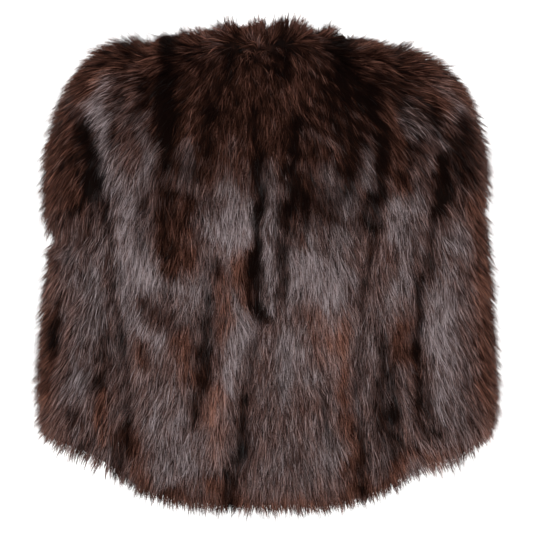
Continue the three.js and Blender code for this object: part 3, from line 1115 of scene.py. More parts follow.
@dataclass
class FurTone:
    """The tone of the fur, with painted shade and painted light, and its share of hairs coloured as painted
    sheen, at any place on the wrap.

    Each of the three lengths of smooth noise adds to the tone and to the painted sheen by a share of its
    own.
    """

    tone: float = 0.445
    # The share of hairs coloured as painted sheen, before the strokes.
    painted_sheen: float = 0.385
    tone_waves: tuple[float, float, float] = (0.02, 0.03, 0.05)
    sheen_waves: tuple[float, float, float] = (0.06, 0.07, -0.07)
    sheen_range: tuple[float, float] = (0.02, 0.98)
    strokes: StrokeField = field(default_factory=StrokeField)
    broad: Waves = field(default_factory=lambda: Waves(110, 2, SEED + 5))
    fine: Waves = field(default_factory=lambda: Waves(26, 2, SEED + 6))
    grain: Waves = field(default_factory=lambda: Waves(9, 2, SEED + 7))

    def at(self, points: np.ndarray) -> tuple[np.ndarray, np.ndarray]:
        """Tone and share of painted sheen at each point, with smooth noise over the strokes.

        Args:
            points: places in millimetres, (n, 3).

        Returns:
            Tones and shares of painted sheen hairs, each (n,).
        """
        tone, painted_sheen = self.strokes.sums(points)
        tone, painted_sheen = tone + self.tone, painted_sheen + self.painted_sheen
        noises = (self.broad(points), self.fine(points), self.grain(points))
        for noise, to_tone, to_sheen in zip(noises, self.tone_waves, self.sheen_waves):
            tone, painted_sheen = tone + to_tone * noise, painted_sheen + to_sheen * noise
        return tone, np.clip(painted_sheen, *self.sheen_range)


@dataclass
class Pelt:
    """One pelt: a closed skin, underfur outside and suede inside, which takes the place of its solid.

    shade is what the underfur adds to the tone of the fur round it: painted shade, darker as it lies under
    the hair.
    """

    name: str
    outer: Surface
    thickness: float
    tones: FurTone
    slot: str = "fur"
    # Painted shade on the underfur.
    shade: float = -0.13

    def build(self, underfur: bpy.types.Material, suede: bpy.types.Material) -> bpy.types.Object:
        """Builds the skin: the outer grid, the same moved in by the thickness, and a rim between them.

        Args:
            underfur: the finish of the outside.
            suede: the finish of the inside.

        Returns:
            The pelt's object, which replaces its solid.
        """
        rows, columns = self.outer.points.shape[:2]
        shift = rows * columns
        inner = self.outer.points - self.outer.outward * self.thickness
        points = np.concatenate([self.outer.points.reshape(-1, 3), inner.reshape(-1, 3)])
        number = np.arange(shift).reshape(rows, columns)
        face = np.stack([number[:-1, :-1], number[:-1, 1:], number[1:, 1:], number[1:, :-1]], -1)
        face = face.reshape(-1, 4)
        loop = np.concatenate([number[:, 0], number[-1, 1:], number[-2::-1, -1], number[0, -2:0:-1]])
        ahead = np.roll(loop, -1)
        rim = np.stack([loop, ahead, ahead + shift, loop + shift], -1)
        faces = np.concatenate([face, rim, face[:, ::-1] + shift])
        piece = add_mesh(self.name, points, faces.ravel(), np.arange(len(faces)) * 4)
        piece.data.materials.append(underfur)
        piece.data.materials.append(suede)
        inside = np.zeros(len(faces), np.int32)
        inside[len(face) + len(rim) :] = 1
        piece.data.polygons.foreach_set("material_index", inside)
        self.paint(piece, points, faces)
        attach(piece, "root")
        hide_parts(self.name.removesuffix("_pelt"))
        return piece

    def paint(self, piece: bpy.types.Object, points: np.ndarray, faces: np.ndarray) -> None:
        """Paints the underfur by tone, with painted shade and painted sheen, and lays the pelt's map:
        metres across it and down it.

        Args:
            piece: the pelt's object.
            points: its vertices in millimetres, outer grid first, (n, 3).
            faces: the four corners of each face, (m, 4).
        """
        tone, painted_sheen = self.tones.at(points)
        tone = np.clip(tone + self.shade, 0, 1)
        mixed = WARM_HAIR.at(tone) * (1 - painted_sheen[:, None]) + SHEEN_HAIR.at(tone) * painted_sheen[:, None]
        solid = np.column_stack([mixed, np.ones(len(mixed))])
        paint = piece.data.color_attributes.new(UnderfurFinish.paint_name, "FLOAT_COLOR", "POINT")
        paint.data.foreach_set("color", solid.astype(np.float32).ravel())
        p = self.outer.points * MM
        across = np.linalg.norm(np.diff(p, axis=0), axis=-1).mean(1).cumsum()
        down = np.linalg.norm(np.diff(p, axis=1), axis=-1).mean(0).cumsum()
        grid = np.meshgrid(np.insert(across, 0, 0), np.insert(down, 0, 0), indexing="ij")
        places = np.tile(np.stack(grid, -1).reshape(-1, 2), (2, 1))
        layer = piece.data.uv_layers.new(name=UnderfurFinish.map_name)
        layer.uv.foreach_set("vector", places[faces.ravel()].astype(np.float32).ravel())

    def declare(self, piece: bpy.types.Object) -> None:
        """Args:
            piece: the pelt's object, which is not used.
        """
        area = float(self.outer.cell_areas().sum()) * MM * MM


# The width of a hair's strip along its length, both as shares: a little narrower at the root, and a point
# at the tip.
STRIP_PLACES = (0.0, 0.33, 0.7, 1.0)
STRIP_WIDTHS = (0.8, 1.0, 0.65, 0.0)


@dataclass(frozen=True)
class HairKind:
    """One kind of hair: how many grow in a lock, their strips' size in millimetres and their own tone."""

    per_lock: int
    segments: int
    length: float
    width: float
    tone: float

    @property
    def shares(self) -> np.ndarray:
        """The shares of a hair's length at which its strip has points, from root to tip."""
        return np.linspace(0, 1, self.segments + 1)

    @property
    def pattern(self) -> np.ndarray:
        """The corners of a strip's faces: quads from the root on, and a triangle at the tip.

        Returns:
            Indices into a strip's points, face after face.
        """
        tip = 2 * self.segments
        first = np.arange(self.segments - 1) * 2
        quads = np.stack([first, first + 2, first + 3, first + 1], axis=-1).ravel()
        return np.concatenate([quads, [tip - 2, tip, tip - 1]])

    @property
    def face_sizes(self) -> np.ndarray:
        """How many corners each face of a strip has."""
        return np.array([4] * (self.segments - 1) + [3])


GUARD_HAIR = HairKind(6, 2, 31.0, 0.36, 0.03)
MIDDLE_HAIR = HairKind(4, 2, 24.0, 0.62, -0.05)


@dataclass(frozen=True)
class Stretch:
    """One stretch of fur on a panel: its shares across and down the panel, and how dense its locks are."""

    name: str
    across: tuple[float, float]
    down: tuple[float, float]
    locks_per_cm2: float


@dataclass(frozen=True)
class HemHair:
    """How the hair differs along a free edge, from a share of the way down its skin.

    extra is the share of locks added, growth is the share added to the length of the hair, and drop is how
    many degrees lower it lies.
    """

    share: float = 0.94
    extra: float = 1.2
    growth: float = -0.42
    drop: float = 0.0


@dataclass(frozen=True)
class OutlineHair:
    """How the hair differs on the sides and the top of the wrap, where its outline is seen from behind.

    sides and top are how far the skin faces sideways and up while the difference grows from nothing to all
    of it. lift is in degrees, and growth and width are what the hair's length and width gain. There the
    hairs of a lock gather to a point, locks differ more, and some of them stand up and are longer. even is
    what the shortest hairs of a lock gain. The thin edge is lighter in tone, as painted light, and warmer,
    as it carries less painted sheen.
    """

    sides: tuple[float, float] = (0.6, 0.95)
    top: tuple[float, float] = (0.4, 0.9)
    lift: float = 20.0
    growth: float = -0.28
    width: float = 0.5
    gather: float = 0.93
    apart: float = 2.0
    even: float = 0.15
    standing_share: float = 0.2
    standing_lift: float = 15.0
    standing_growth: float = 0.35
    # Painted light on the outline's thin edge, and the share of painted sheen it loses.
    tone: float = 0.13
    sheen_loss: float = 0.7

    def at(self, outward: np.ndarray) -> np.ndarray:
        """How far each place belongs to the outline, from 0 to 1."""
        aside = smoothstep(np.abs(outward[:, 0]), *self.sides)
        return np.maximum(aside, smoothstep(outward[:, 2], *self.top))


@dataclass(frozen=True)
class Unevenness:
    """How unevenly the fur grows: by smooth waves over it, and by chance for each lock and each hair.

    Waves are in millimetres, turns and raises in degrees, growths are shares of the length, and ranges are
    from the least to the most. A few stray hairs stand higher than the others of their lock.
    """

    broad_waves: float = 150.0
    fine_waves: float = 45.0
    raise_waves: float = 60.0
    broad_turn: float = 4.0
    fine_turn: float = 8.0
    lock_turn: float = 5.5
    hair_turn: float = 9.0
    lock_raise: float = 3.0
    hair_raise: float = 4.0
    stray_raise: float = 12.0
    stray_share: float = 0.06
    fine_growth: float = 0.06
    lock_growth: float = 0.07
    growth_range: tuple[float, float] = (0.4, 1.1)
    length_range: tuple[float, float] = (0.65, 1.1)
    gather_range: tuple[float, float] = (0.4, 1.2)
    width_range: tuple[float, float] = (0.7, 1.3)
    roll: float = 0.9


@dataclass(frozen=True)
class HairShade:
    """How single hairs are coloured, from the tone and the painted sheen of the fur round them.

    place is how far along a hair its colour is read, root is its tone at the root as a share of that at
    the tip, a painted shade that darkens the roots, and root_power how fast it changes. The spreads are by
    chance, and greater where the fur is lighter, with light_power. A light hair tends to carry more painted
    sheen, as a painted glint. map_width and map_length keep the points of a strip apart on the colour map.
    """

    place: float = 0.6
    # Painted shade: a hair's root is darker than its tip.
    root: float = 0.5
    root_power: float = 0.7
    lock_spread: float = 0.035
    hair_spread: float = 0.31
    light_power: float = 0.85
    # Painted glints: a lighter hair carries more painted sheen.
    sheen_follows: float = 1.7
    sheen_spread: float = 0.15
    least_tone: float = 0.02
    least_sheen: float = 0.01
    most: float = 0.97
    map_width: float = 0.004
    map_length: float = 0.015


@dataclass(frozen=True)
class Whorl:
    """The whorl at the back of the collar: hair lies out from it, and stands up along the crest above it.

    below and above are how far under and over the whorl its pull goes from nothing to all of it, sideways
    is how much of it spreads the hair to the sides, and facing is how far the skin has to face outwards.
    ends are the reaches in x over which it fades out, and crest is the heights over which the tufts begin.
    """

    x: float = -4.0
    z: float = 43.0
    below: float = 17.0
    above: float = 6.0
    sideways: float = 0.22
    facing: tuple[float, float] = (-0.1, 0.35)
    ends: tuple[float, float] = (135.0, 165.0)
    centre_width: float = 32.0
    centre_lift: float = 22.0
    centre_turn: float = 24.0
    centre_growth: float = -0.3
    crest_growth: float = -0.12
    wander: float = 14.0
    wander_length: float = 40.0
    crest: tuple[float, float] = (34.0, 56.0)
    crest_lift: float = 17.0
    tufts: tuple[Tuft, ...] = TUFTS

    def behind(self, root: np.ndarray) -> np.ndarray:
        """1 at the back of the collar, fading to 0 past its ends."""
        return (1 - smoothstep(np.abs(root[:, 0]), *self.ends)) * (root[:, 1] < 0)

    def combed(self, root: np.ndarray, outward: np.ndarray, lie: np.ndarray) -> np.ndarray:
        """The lie of the hair, turned to lie out from the whorl on the collar's outer face.

        The whorl's place wanders by smooth noise, so that its middle is tousled.

        Args:
            root: roots of the locks in millimetres, (n, 3).
            outward: the skin's outward directions there, (n, 3).
            lie: the lie of the skin there, (n, 3).

        Returns:
            The lie of the hair, (n, 3).
        """
        sway = np.stack([Waves(self.wander_length, 2, SEED + 30 + k)(root) for k in range(3)], axis=-1)
        out = (root - [self.x, 0, self.z] + self.wander * sway) * [self.sideways, 0, 1]
        out = unit(out - outward * (out * outward).sum(-1, keepdims=True))
        faces_out = smoothstep((outward * unit(root * [1, 1, 0])).sum(1), *self.facing)
        share = smoothstep(root[:, 2], self.z - self.below, self.z + self.above)
        share = share * faces_out * self.behind(root)
        return unit(lie * (1 - share[:, None]) + out * share[:, None])

    def middle(self, root: np.ndarray) -> np.ndarray:
        """A bell round the whorl's middle, 1 at its centre."""
        apart = ((root[:, 0] - self.x) ** 2 + (root[:, 2] - self.z) ** 2) / self.centre_width**2
        return np.exp(-apart) * self.behind(root)

    def lift(self, root: np.ndarray) -> np.ndarray:
        """How many degrees higher the hair stands: near the whorl, and along the crest."""
        crest = smoothstep(root[:, 2], *self.crest) * self.behind(root)
        return self.centre_lift * self.middle(root) + self.crest_lift * crest

    def growth(self, root: np.ndarray) -> np.ndarray:
        """The share added to the hair's length: by the tufts on the crest, and round the whorl's middle.

        Args:
            root: roots of the locks in millimetres, (n, 3).

        Returns:
            Shares, below 0 for shorter, (n,).
        """
        x = root[:, 0]
        added = sum(tuft.growth * np.exp(-(((x - tuft.x) / tuft.width) ** 2)) for tuft in self.tufts)
        crest = smoothstep(root[:, 2], *self.crest) * self.behind(root)
        return (added + self.crest_growth) * crest + self.centre_growth * self.middle(root) * (1 - crest)


@dataclass
class Locks:
    """The locks of one stretch as arrays, one row for each.

    outline and at_hem are how far a lock belongs to the outline and to the hem, and alike is the share of
    the usual difference that is left between its hairs. raised is in degrees, stretch is a share of the
    usual length, and turn is in radians from the lie of the skin.
    """

    root: np.ndarray
    outward: np.ndarray
    lie: np.ndarray
    beside: np.ndarray
    outline: np.ndarray
    at_hem: np.ndarray
    alike: np.ndarray
    raised: np.ndarray
    stretch: np.ndarray
    turn: np.ndarray

    @property
    def at_edge(self) -> np.ndarray:
        """How far each lock belongs to the outline or to the hem."""
        return np.maximum(self.outline, self.at_hem)


@dataclass
class HairLines:
    """The middle lines of hairs (n, k, 3), each hair's lock, and the directions beside it and outward."""

    points: np.ndarray
    lock: np.ndarray
    beside: np.ndarray
    outward: np.ndarray


@dataclass
class HairStrips:
    """Hairs of one kind: points and normals (n, k, 3), colour places (n, k, 2), and glossy or not (n,)."""

    kind: HairKind
    points: np.ndarray
    normals: np.ndarray
    places: np.ndarray
    glossy: np.ndarray


@dataclass
class FurCoat:
    """The hair of one stretch of a surface, in locks of tapering strips.

    Lengths are in millimetres, and lifts in degrees. fan turns the hair outwards by radians at fan_reach
    from the middle. Hair is pressed down just under the creases of the arms, at press_below and over
    press_width.
    """

    stretch: Stretch
    skin: Surface
    tones: FurTone
    seed: int
    kinds: tuple[HairKind, ...] = (GUARD_HAIR, MIDDLE_HAIR)
    hem: HemHair = HemHair()
    outline: OutlineHair = OutlineHair()
    uneven: Unevenness = Unevenness()
    shade: HairShade = HairShade()
    whorl: Whorl | None = None
    root_depth: float = 2.0
    lock_radius: float = 3.2
    gather: float = 0.3
    root_lift: float = 36.0
    tip_lift: float = 8.0
    tip_follows: float = 0.7
    fan: float = 0.22
    fan_reach: float = 280.0
    roundness: float = 0.5
    press_below: float = 22.0
    press_width: float = 16.0
    press_drop: float = 9.0
    press_growth: float = -0.35
    slot: str = "fur"

    def lock_places(self, rng: np.random.Generator) -> tuple[np.ndarray, np.ndarray]:
        """Grid places of the locks: each cell holds its area times the density, rounded by chance.

        Args:
            rng: the source of chance.

        Returns:
            Grid places across and down the skin, each (n,).
        """
        rows, columns = self.skin.points.shape[:2]
        low_a, high_a = (int(round(share * (rows - 1))) for share in self.stretch.across)
        low_b, high_b = (int(round(share * (columns - 1))) for share in self.stretch.down)
        areas = self.skin.cell_areas()[low_a:high_a, low_b:high_b]
        areas = areas * (1 + self.hem.extra * (np.arange(low_b, high_b) > self.hem.share * (columns - 1)))
        chance = rng.uniform(size=areas.shape)
        counts = np.floor(areas * self.stretch.locks_per_cm2 / MM2_PER_CM2 + chance).astype(int)
        i, j = np.nonzero(counts)
        many = counts[i, j]
        i, j = np.repeat(i, many), np.repeat(j, many)
        return low_a + i + rng.uniform(size=len(i)), low_b + j + rng.uniform(size=len(j))

    def pressed(self, root: np.ndarray) -> np.ndarray:
        """How far the hair is pressed down under the creases of the arms: 1 under the deeper one.

        Args:
            root: roots of the locks in millimetres, (n, 3).

        Returns:
            Shares from 0 to 1, (n,).
        """
        x, z = root[:, 0], root[:, 2]
        deepest = max(crease.depth for crease in CREASES)
        pressed = np.zeros(len(root))
        for crease in CREASES:
            below = np.exp(-(((z - crease.z + self.press_below) / self.press_width) ** 2))
            pressed += crease.depth / deepest * smoothstep(crease.arm * x, *ARM_REACH) * below
        return pressed

    def set_locks(self, rng: np.random.Generator, a: np.ndarray, b: np.ndarray) -> Locks:
        """Sets every lock: which way it lies, how high it stands and how long its hair grows.

        Args:
            rng: the source of chance.
            a: grid places across, (n,).
            b: grid places down, (n,).

        Returns:
            The locks.
        """
        root, outward, lie = self.skin.at(a, b)
        uneven, many = self.uneven, len(root)
        broad = Waves(uneven.broad_waves, 2, self.seed)(root)
        fine = Waves(uneven.fine_waves, 2, self.seed + 1)(root)
        outline = self.outline.at(outward)
        at_hem = smoothstep(b / (self.skin.points.shape[1] - 1), self.hem.share, 1)
        apart = 1 + self.outline.apart * np.maximum(outline, at_hem)
        pressed = self.pressed(root)
        raised = uneven.lock_raise * Waves(uneven.raise_waves, 2, self.seed + 2)(root)
        raised += rng.normal(0, uneven.lock_raise, many) * apart
        raised -= self.hem.drop * at_hem + self.press_drop * pressed
        standing = np.maximum(outline, at_hem) * (rng.uniform(size=many) < self.outline.standing_share)
        raised += self.outline.standing_lift * outline * standing
        stretch = 1 + uneven.fine_growth * fine + rng.normal(0, uneven.lock_growth, many) * apart
        stretch *= (1 + self.hem.growth * at_hem) * (1 + self.press_growth * pressed)
        stretch *= (1 + self.outline.growth * outline) * (1 + self.outline.standing_growth * standing)
        tousled = uneven.lock_turn
        if self.whorl:
            lie = self.whorl.combed(root, outward, lie)
            raised += self.whorl.lift(root)
            stretch *= 1 + self.whorl.growth(root)
            tousled = tousled + self.whorl.centre_turn * self.whorl.middle(root)
        stretch = np.clip(stretch, *uneven.growth_range)
        beside = np.cross(outward, lie)
        waves = uneven.broad_turn * broad + uneven.fine_turn * fine
        turn = np.radians(waves + rng.normal(0, tousled, many))
        turn += self.fan * root[:, 0] * beside[:, 0] / self.fan_reach
        return Locks(root, outward, lie, beside, outline, at_hem, 1 / apart, raised, stretch, turn)

    def draw_lines(self, kind: HairKind, rng: np.random.Generator, locks: Locks) -> HairLines:
        """Draws the middle lines of the hairs in every lock.

        A hair leaves the skin at its root lift and lies down to its tip lift over its length. It starts
        beside its lock's line and draws in towards it with the square of the share of its length.

        Args:
            kind: the kind of hair.
            rng: the source of chance.
            locks: the locks.

        Returns:
            The middle lines of the hairs, from root to tip.
        """
        uneven, share = self.uneven, kind.shares
        of = np.repeat(np.arange(len(locks.root)), kind.per_lock)
        many = len(of)
        alike, outline, at_edge = locks.alike[of], locks.outline[of], locks.at_edge[of]
        lie, beside, outward = locks.lie[of], locks.beside[of], locks.outward[of]
        turn = locks.turn[of] + rng.normal(0, math.radians(uneven.hair_turn), many) * alike
        cos, sin = np.cos(turn)[:, None], np.sin(turn)[:, None]
        lie, beside = lie * cos + beside * sin, beside * cos - lie * sin
        own = rng.normal(0, uneven.hair_raise, many)
        own += uneven.stray_raise * (rng.uniform(size=many) < uneven.stray_share)
        raised = locks.raised[of] + own * alike
        at_root = np.radians(self.root_lift + raised)
        at_tip = np.radians(self.tip_lift + self.outline.lift * outline + self.tip_follows * raised)
        lift = at_root[:, None] * (1 - share) + at_tip[:, None] * share
        middle = (lift[:, 1:] + lift[:, :-1]) / 2
        shortest, longest = uneven.length_range
        chance = rng.uniform(shortest + self.outline.even * at_edge, longest)
        length = kind.length * locks.stretch[of] * chance
        step = lie[:, None] * np.cos(middle)[..., None] + outward[:, None] * np.sin(middle)[..., None]
        step = step * (length / kind.segments)[:, None, None]
        out = self.lock_radius * np.sqrt(rng.uniform(size=many))
        way = rng.uniform(0, 2 * math.pi, many)
        gathered = self.gather * rng.uniform(*uneven.gather_range, len(locks.root))[of]
        gathered = gathered * (1 - at_edge) + self.outline.gather * at_edge
        held = 1 - gathered[:, None] * share**2
        line = locks.root[of, None] - outward[:, None] * self.root_depth
        line = line + np.concatenate([np.zeros((many, 1, 3)), step.cumsum(1)], axis=1)
        line = line + beside[:, None] * ((out * np.cos(way))[:, None] * held)[..., None]
        line = line + lie[:, None] * (out * np.sin(way))[:, None, None]
        return HairLines(line, of, beside, outward)

    def widen(
        self, kind: HairKind, rng: np.random.Generator, lines: HairLines, outline: np.ndarray
    ) -> tuple[np.ndarray, np.ndarray]:
        """Widens the lines to strips, which turn by chance about their own length.

        Their shading normals lean from their own towards the coat's, so that the fur shades as one pile.

        Args:
            kind: the kind of hair.
            rng: the source of chance.
            lines: the middle lines.
            outline: how far each hair belongs to the outline, (n,).

        Returns:
            Points and normals of the strips, each (n, 2 * segments + 1, 3).
        """
        line, many, most = lines.points, len(lines.points), self.uneven.roll
        roll = rng.uniform(-most, most, many)[:, None]
        flat = unit(lines.beside * np.cos(roll) + lines.outward * np.sin(roll))
        taper = np.interp(kind.shares, STRIP_PLACES, STRIP_WIDTHS)
        width = kind.width * rng.uniform(*self.uneven.width_range, many)
        width = width * (1 + self.outline.width * outline)
        half = width[:, None] / 2 * taper
        side = flat[:, None] * half[..., None]
        pairs = np.stack([line - side, line + side], axis=2)
        points = np.concatenate([pairs[:, :-1].reshape(many, -1, 3), line[:, -1:]], axis=1)
        along = unit(np.gradient(line, axis=1))
        outward = lines.outward[:, None]
        facing = unit(outward - along * (along * outward).sum(-1, keepdims=True))
        own = unit(np.cross(along, flat[:, None]))
        shading = unit(facing * (1 - self.roundness) + own * self.roundness)
        return points, np.concatenate([np.repeat(shading[:, :-1], 2, axis=1), shading[:, -1:]], axis=1)

    def colour(
        self, kind: HairKind, rng: np.random.Generator, lines: HairLines, outline: np.ndarray
    ) -> tuple[np.ndarray, np.ndarray]:
        """Colours the hairs: u on the map is the tone, darker at the root as painted shade, and v the share
        of painted sheen.

        Args:
            kind: the kind of hair.
            rng: the source of chance.
            lines: the middle lines.
            outline: how far each hair belongs to the outline, (n,).

        Returns:
            Colour places of the strips' points (n, 2 * segments + 1, 2), and which hairs are glossy (n,).
        """
        line, of, shade = lines.points, lines.lock, self.shade
        many, locks = len(of), of[-1] + 1
        tone, painted_sheen = self.tones.at(line[:, -1] * shade.place + line[:, 0] * (1 - shade.place))
        own_tone = rng.normal(0, shade.lock_spread, locks)[of] + rng.normal(0, shade.hair_spread, many)
        own_tone *= (np.clip(tone, shade.least_tone, 1) / self.tones.tone) ** shade.light_power
        # The outline's hair is lighter, as painted light on the edge.
        tone = tone + kind.tone + self.outline.tone * outline + own_tone
        tone = np.clip(tone, shade.least_tone, shade.most)
        own_sheen = rng.normal(0, shade.sheen_spread, locks)[of]
        own_sheen += rng.normal(0, shade.sheen_spread, many)
        # Lighter hairs get more painted sheen, as painted glints.
        painted_sheen = painted_sheen * (1 + shade.sheen_follows * own_tone + own_sheen)
        # The outline's thin edge carries less painted sheen.
        painted_sheen = np.clip(painted_sheen, shade.least_sheen, shade.most) * (1 - self.outline.sheen_loss * outline)
        share = np.array([*np.repeat(kind.shares[:-1], 2), 1.0])
        # Painted shade: each hair is darker towards its root.
        u = tone[:, None] * (shade.root + (1 - shade.root) * share**shade.root_power)
        u = u + np.array([*([0, 1] * kind.segments), 0.5]) * shade.map_width
        v = painted_sheen[:, None] + share * shade.map_length
        return np.stack([u, v], -1), rng.uniform(size=many) < painted_sheen

    def grow(self, kind: HairKind, rng: np.random.Generator, a: np.ndarray, b: np.ndarray) -> HairStrips:
        """Grows one kind of hair in the locks at grid places a, b.

        Args:
            kind: the kind of hair.
            rng: the source of chance.
            a: grid places across, (n,).
            b: grid places down, (n,).

        Returns:
            The strips of all hairs of this kind.
        """
        locks = self.set_locks(rng, a, b)
        lines = self.draw_lines(kind, rng, locks)
        outline = locks.outline[lines.lock]
        points, normals = self.widen(kind, rng, lines, outline)
        places, glossy = self.colour(kind, rng, lines, outline)
        return HairStrips(kind, points, normals, places, glossy)

    def build(self, matt: bpy.types.Material, glossy: bpy.types.Material) -> bpy.types.Object:
        """Grows the coat as one mesh, with its own normals, its colour map and its two finishes of hair.

        Args:
            matt: the finish of the duller hairs.
            glossy: the finish of the hairs that shine.

        Returns:
            The object of the coat.
        """
        rng = np.random.default_rng(self.seed)
        a, b = self.lock_places(rng)
        strips = [self.grow(kind, rng, a, b) for kind in self.kinds]
        shift, corners, sizes = 0, [], []
        for strip in strips:
            many, size = strip.points.shape[:2]
            corners.append((shift + np.arange(many)[:, None] * size + strip.kind.pattern).ravel())
            sizes.append(np.tile(strip.kind.face_sizes, many))
            shift += many * size
        sizes = np.concatenate(sizes)
        starts = np.insert(sizes.cumsum()[:-1], 0, 0)
        points = np.concatenate([strip.points.reshape(-1, 3) for strip in strips])
        piece = add_mesh(self.stretch.name, points, np.concatenate(corners), starts)
        mesh = piece.data
        mesh.materials.append(matt)
        mesh.materials.append(glossy)
        shining = np.concatenate([np.repeat(strip.glossy, strip.kind.segments) for strip in strips])
        mesh.polygons.foreach_set("material_index", shining.astype(np.int32))
        places = np.concatenate([strip.places[:, strip.kind.pattern].reshape(-1, 2) for strip in strips])
        layer = mesh.uv_layers.new(name=HairFinish.map_name)
        layer.uv.foreach_set("vector", places.astype(np.float32).ravel())
        normals = np.concatenate([strip.normals.reshape(-1, 3) for strip in strips])
        own = mesh.attributes.new("custom_normal", "FLOAT_VECTOR", "POINT")
        own.data.foreach_set("vector", normals.astype(np.float32).ravel())
        mesh.update()
        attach(piece, "root")
        log.info("%s: %d locks, %d triangles", self.stretch.name, len(a), int((sizes - 2).sum()))
        return piece


@dataclass(frozen=True)
class Panel:
    """One pelt panel: its name, its place in c, its pelt's columns, its stretches of fur and its hem."""

    name: str
    place: int
    columns: int
    fur: tuple[Stretch, ...]
    hem: HemHair = HemHair()


PANELS = (
    Panel("left_front", 0, 21, (Stretch("left_front_fur", (0, 1), (0.03, 1), 2.1),)),
    Panel(
        "left_side",
        1,
        51,
        (
            Stretch("left_side_fur_front", (0, 0.45), (0.03, 1), 2.0),
            Stretch("left_side_fur_back", (0.45, 1), (0.03, 1), 3.4),
        ),
        HemHair(growth=-0.22),
    ),
    Panel(
        "back",
        2,
        71,
        (
            Stretch("back_fur_upper", (0, 1), (0.22, 0.5), 5.9),
            Stretch("back_fur_middle", (0, 1), (0.5, 0.75), 6.0),
            Stretch("back_fur_lower", (0, 1), (0.75, 1), 5.6),
        ),
    ),
    Panel(
        "right_side",
        3,
        51,
        (
            Stretch("right_side_fur_back", (0, 0.55), (0.03, 1), 3.4),
            Stretch("right_side_fur_front", (0.55, 1), (0.03, 1), 2.0),
        ),
        HemHair(growth=-0.27),
    ),
    Panel("right_front", 4, 21, (Stretch("right_front_fur", (0, 1), (0.03, 1), 2.1),)),
)

COLLAR_STRETCHES = (
    Stretch("collar_fur_left", (0, 0.36), (0.02, 1), 5.0),
    Stretch("collar_fur_back", (0.36, 0.64), (0.08, 1), 5.8),
    Stretch("collar_fur_right", (0.64, 1), (0.02, 1), 5.0),
)


@dataclass
class FurWrap:
    """The whole wrap: five pelt panels and a collar, each with its fur.

    The depths are how far the underfur and the suede lie below the outer fur face. The pelts stop short
    of the hem by hem_rings and of the front edges by edge_share, which their hair covers, and lie apart
    at a seam by twice seam_share. The hair grows on finer grids than those of the pelts.
    """

    form: WrapForm = field(default_factory=WrapForm)
    tones: FurTone = field(default_factory=FurTone)
    underfur_depth: float = 8.0
    skin_depth: float = 19.5
    hem_rings: float = 0.17
    edge_share: float = 0.045
    seam_share: float = 0.0006
    rows: int = 61
    fine_columns: int = 121
    fine_rows: int = 201
    collar_underfur_depth: float = 6.0
    collar_skin_depth: float = 13.5
    collar_columns: int = 121
    collar_rows: int = 31
    collar_fine_columns: int = 321
    collar_fine_rows: int = 97
    collar_ends: tuple[float, float] = (0.02, 4.98)
    collar_edge: HemHair = HemHair(share=0.86, growth=0.15, drop=24.0)
    collar_seed: int = SEED + 200
    seed_step: int = 10

    def panel_skin(self, place: int, across: int, down: int) -> Surface:
        """The face of one panel's underfur, on a grid of the given size.

        Args:
            place: the panel's place in c, from 0 to 4.
            across: how many points across.
            down: how many points down.

        Returns:
            The surface of the panel's underfur.
        """
        low, high = place + self.seam_share, place + 1 - self.seam_share
        low = self.edge_share if place == 0 else low
        high = 5 - self.edge_share if place == 4 else high
        last = len(self.form.rings) - 1 - self.hem_rings
        c, v = np.linspace(low, high, across), np.linspace(0, last, down)
        return self.form.surface(c, v, -self.underfur_depth)

    def collar_skin(self, across: int, down: int) -> Surface:
        """The face of the collar's underfur, on a grid of the given size."""
        c = np.linspace(*self.collar_ends, across)
        return CollarForm(self.form).surface(c, down, -self.collar_underfur_depth)

    def build(self) -> None:
        """Builds the pelts and grows the fur on them."""
        finishes = Finishes.made()
        thickness = self.skin_depth - self.underfur_depth
        seed = SEED
        for panel in PANELS:
            skin = self.panel_skin(panel.place, self.fine_columns, self.fine_rows)
            for fur in panel.fur:
                seed += self.seed_step
                coat = FurCoat(fur, skin, self.tones, seed, hem=panel.hem)
                coat.build(finishes.matt, finishes.glossy)
            face = self.panel_skin(panel.place, panel.columns, self.rows)
            shell = Pelt(f"{panel.name}_pelt", face, thickness, self.tones)
            shell.declare(shell.build(finishes.underfur, finishes.suede))
        self.build_collar(finishes)

    def build_collar(self, finishes: Finishes) -> None:
        """Builds the collar's pelt and its fur, which stands out from the whorl behind.

        Args:
            finishes: the wrap's materials.
        """
        skin = self.collar_skin(self.collar_fine_columns, self.collar_fine_rows)
        for k, fur in enumerate(COLLAR_STRETCHES):
            coat = FurCoat(
                fur,
                skin,
                self.tones,
                self.collar_seed + self.seed_step * k,
                hem=self.collar_edge,
                whorl=Whorl(),
                slot="collar_fur",
            )
            coat.build(finishes.matt, finishes.glossy)
        face = self.collar_skin(self.collar_columns, self.collar_rows)
        thickness = self.collar_skin_depth - self.collar_underfur_depth
        shell = Pelt("collar_pelt", face, thickness, self.tones, slot="collar_fur")
        shell.declare(shell.build(finishes.underfur, finishes.suede))


@dataclass(frozen=True)
class Lamp:
    """A square soft light: its place and its side in metres, and its power in watts."""

    name: str
    place: tuple[float, float, float]
    side: float
    power: float


LAMPS = (
    Lamp("key", (-0.9, -2.6, 1.6), 1.4, 70.0),
    Lamp("fill", (1.6, -2.4, 0.2), 1.8, 30.0),
    Lamp("top", (0.0, -0.2, 2.2), 1.4, 11.0),
    Lamp("rear_left", (-2.2, 1.0, 0.6), 1.2, 6.0),
    Lamp("rear_right", (2.2, 1.0, 0.6), 1.2, 6.0),
)


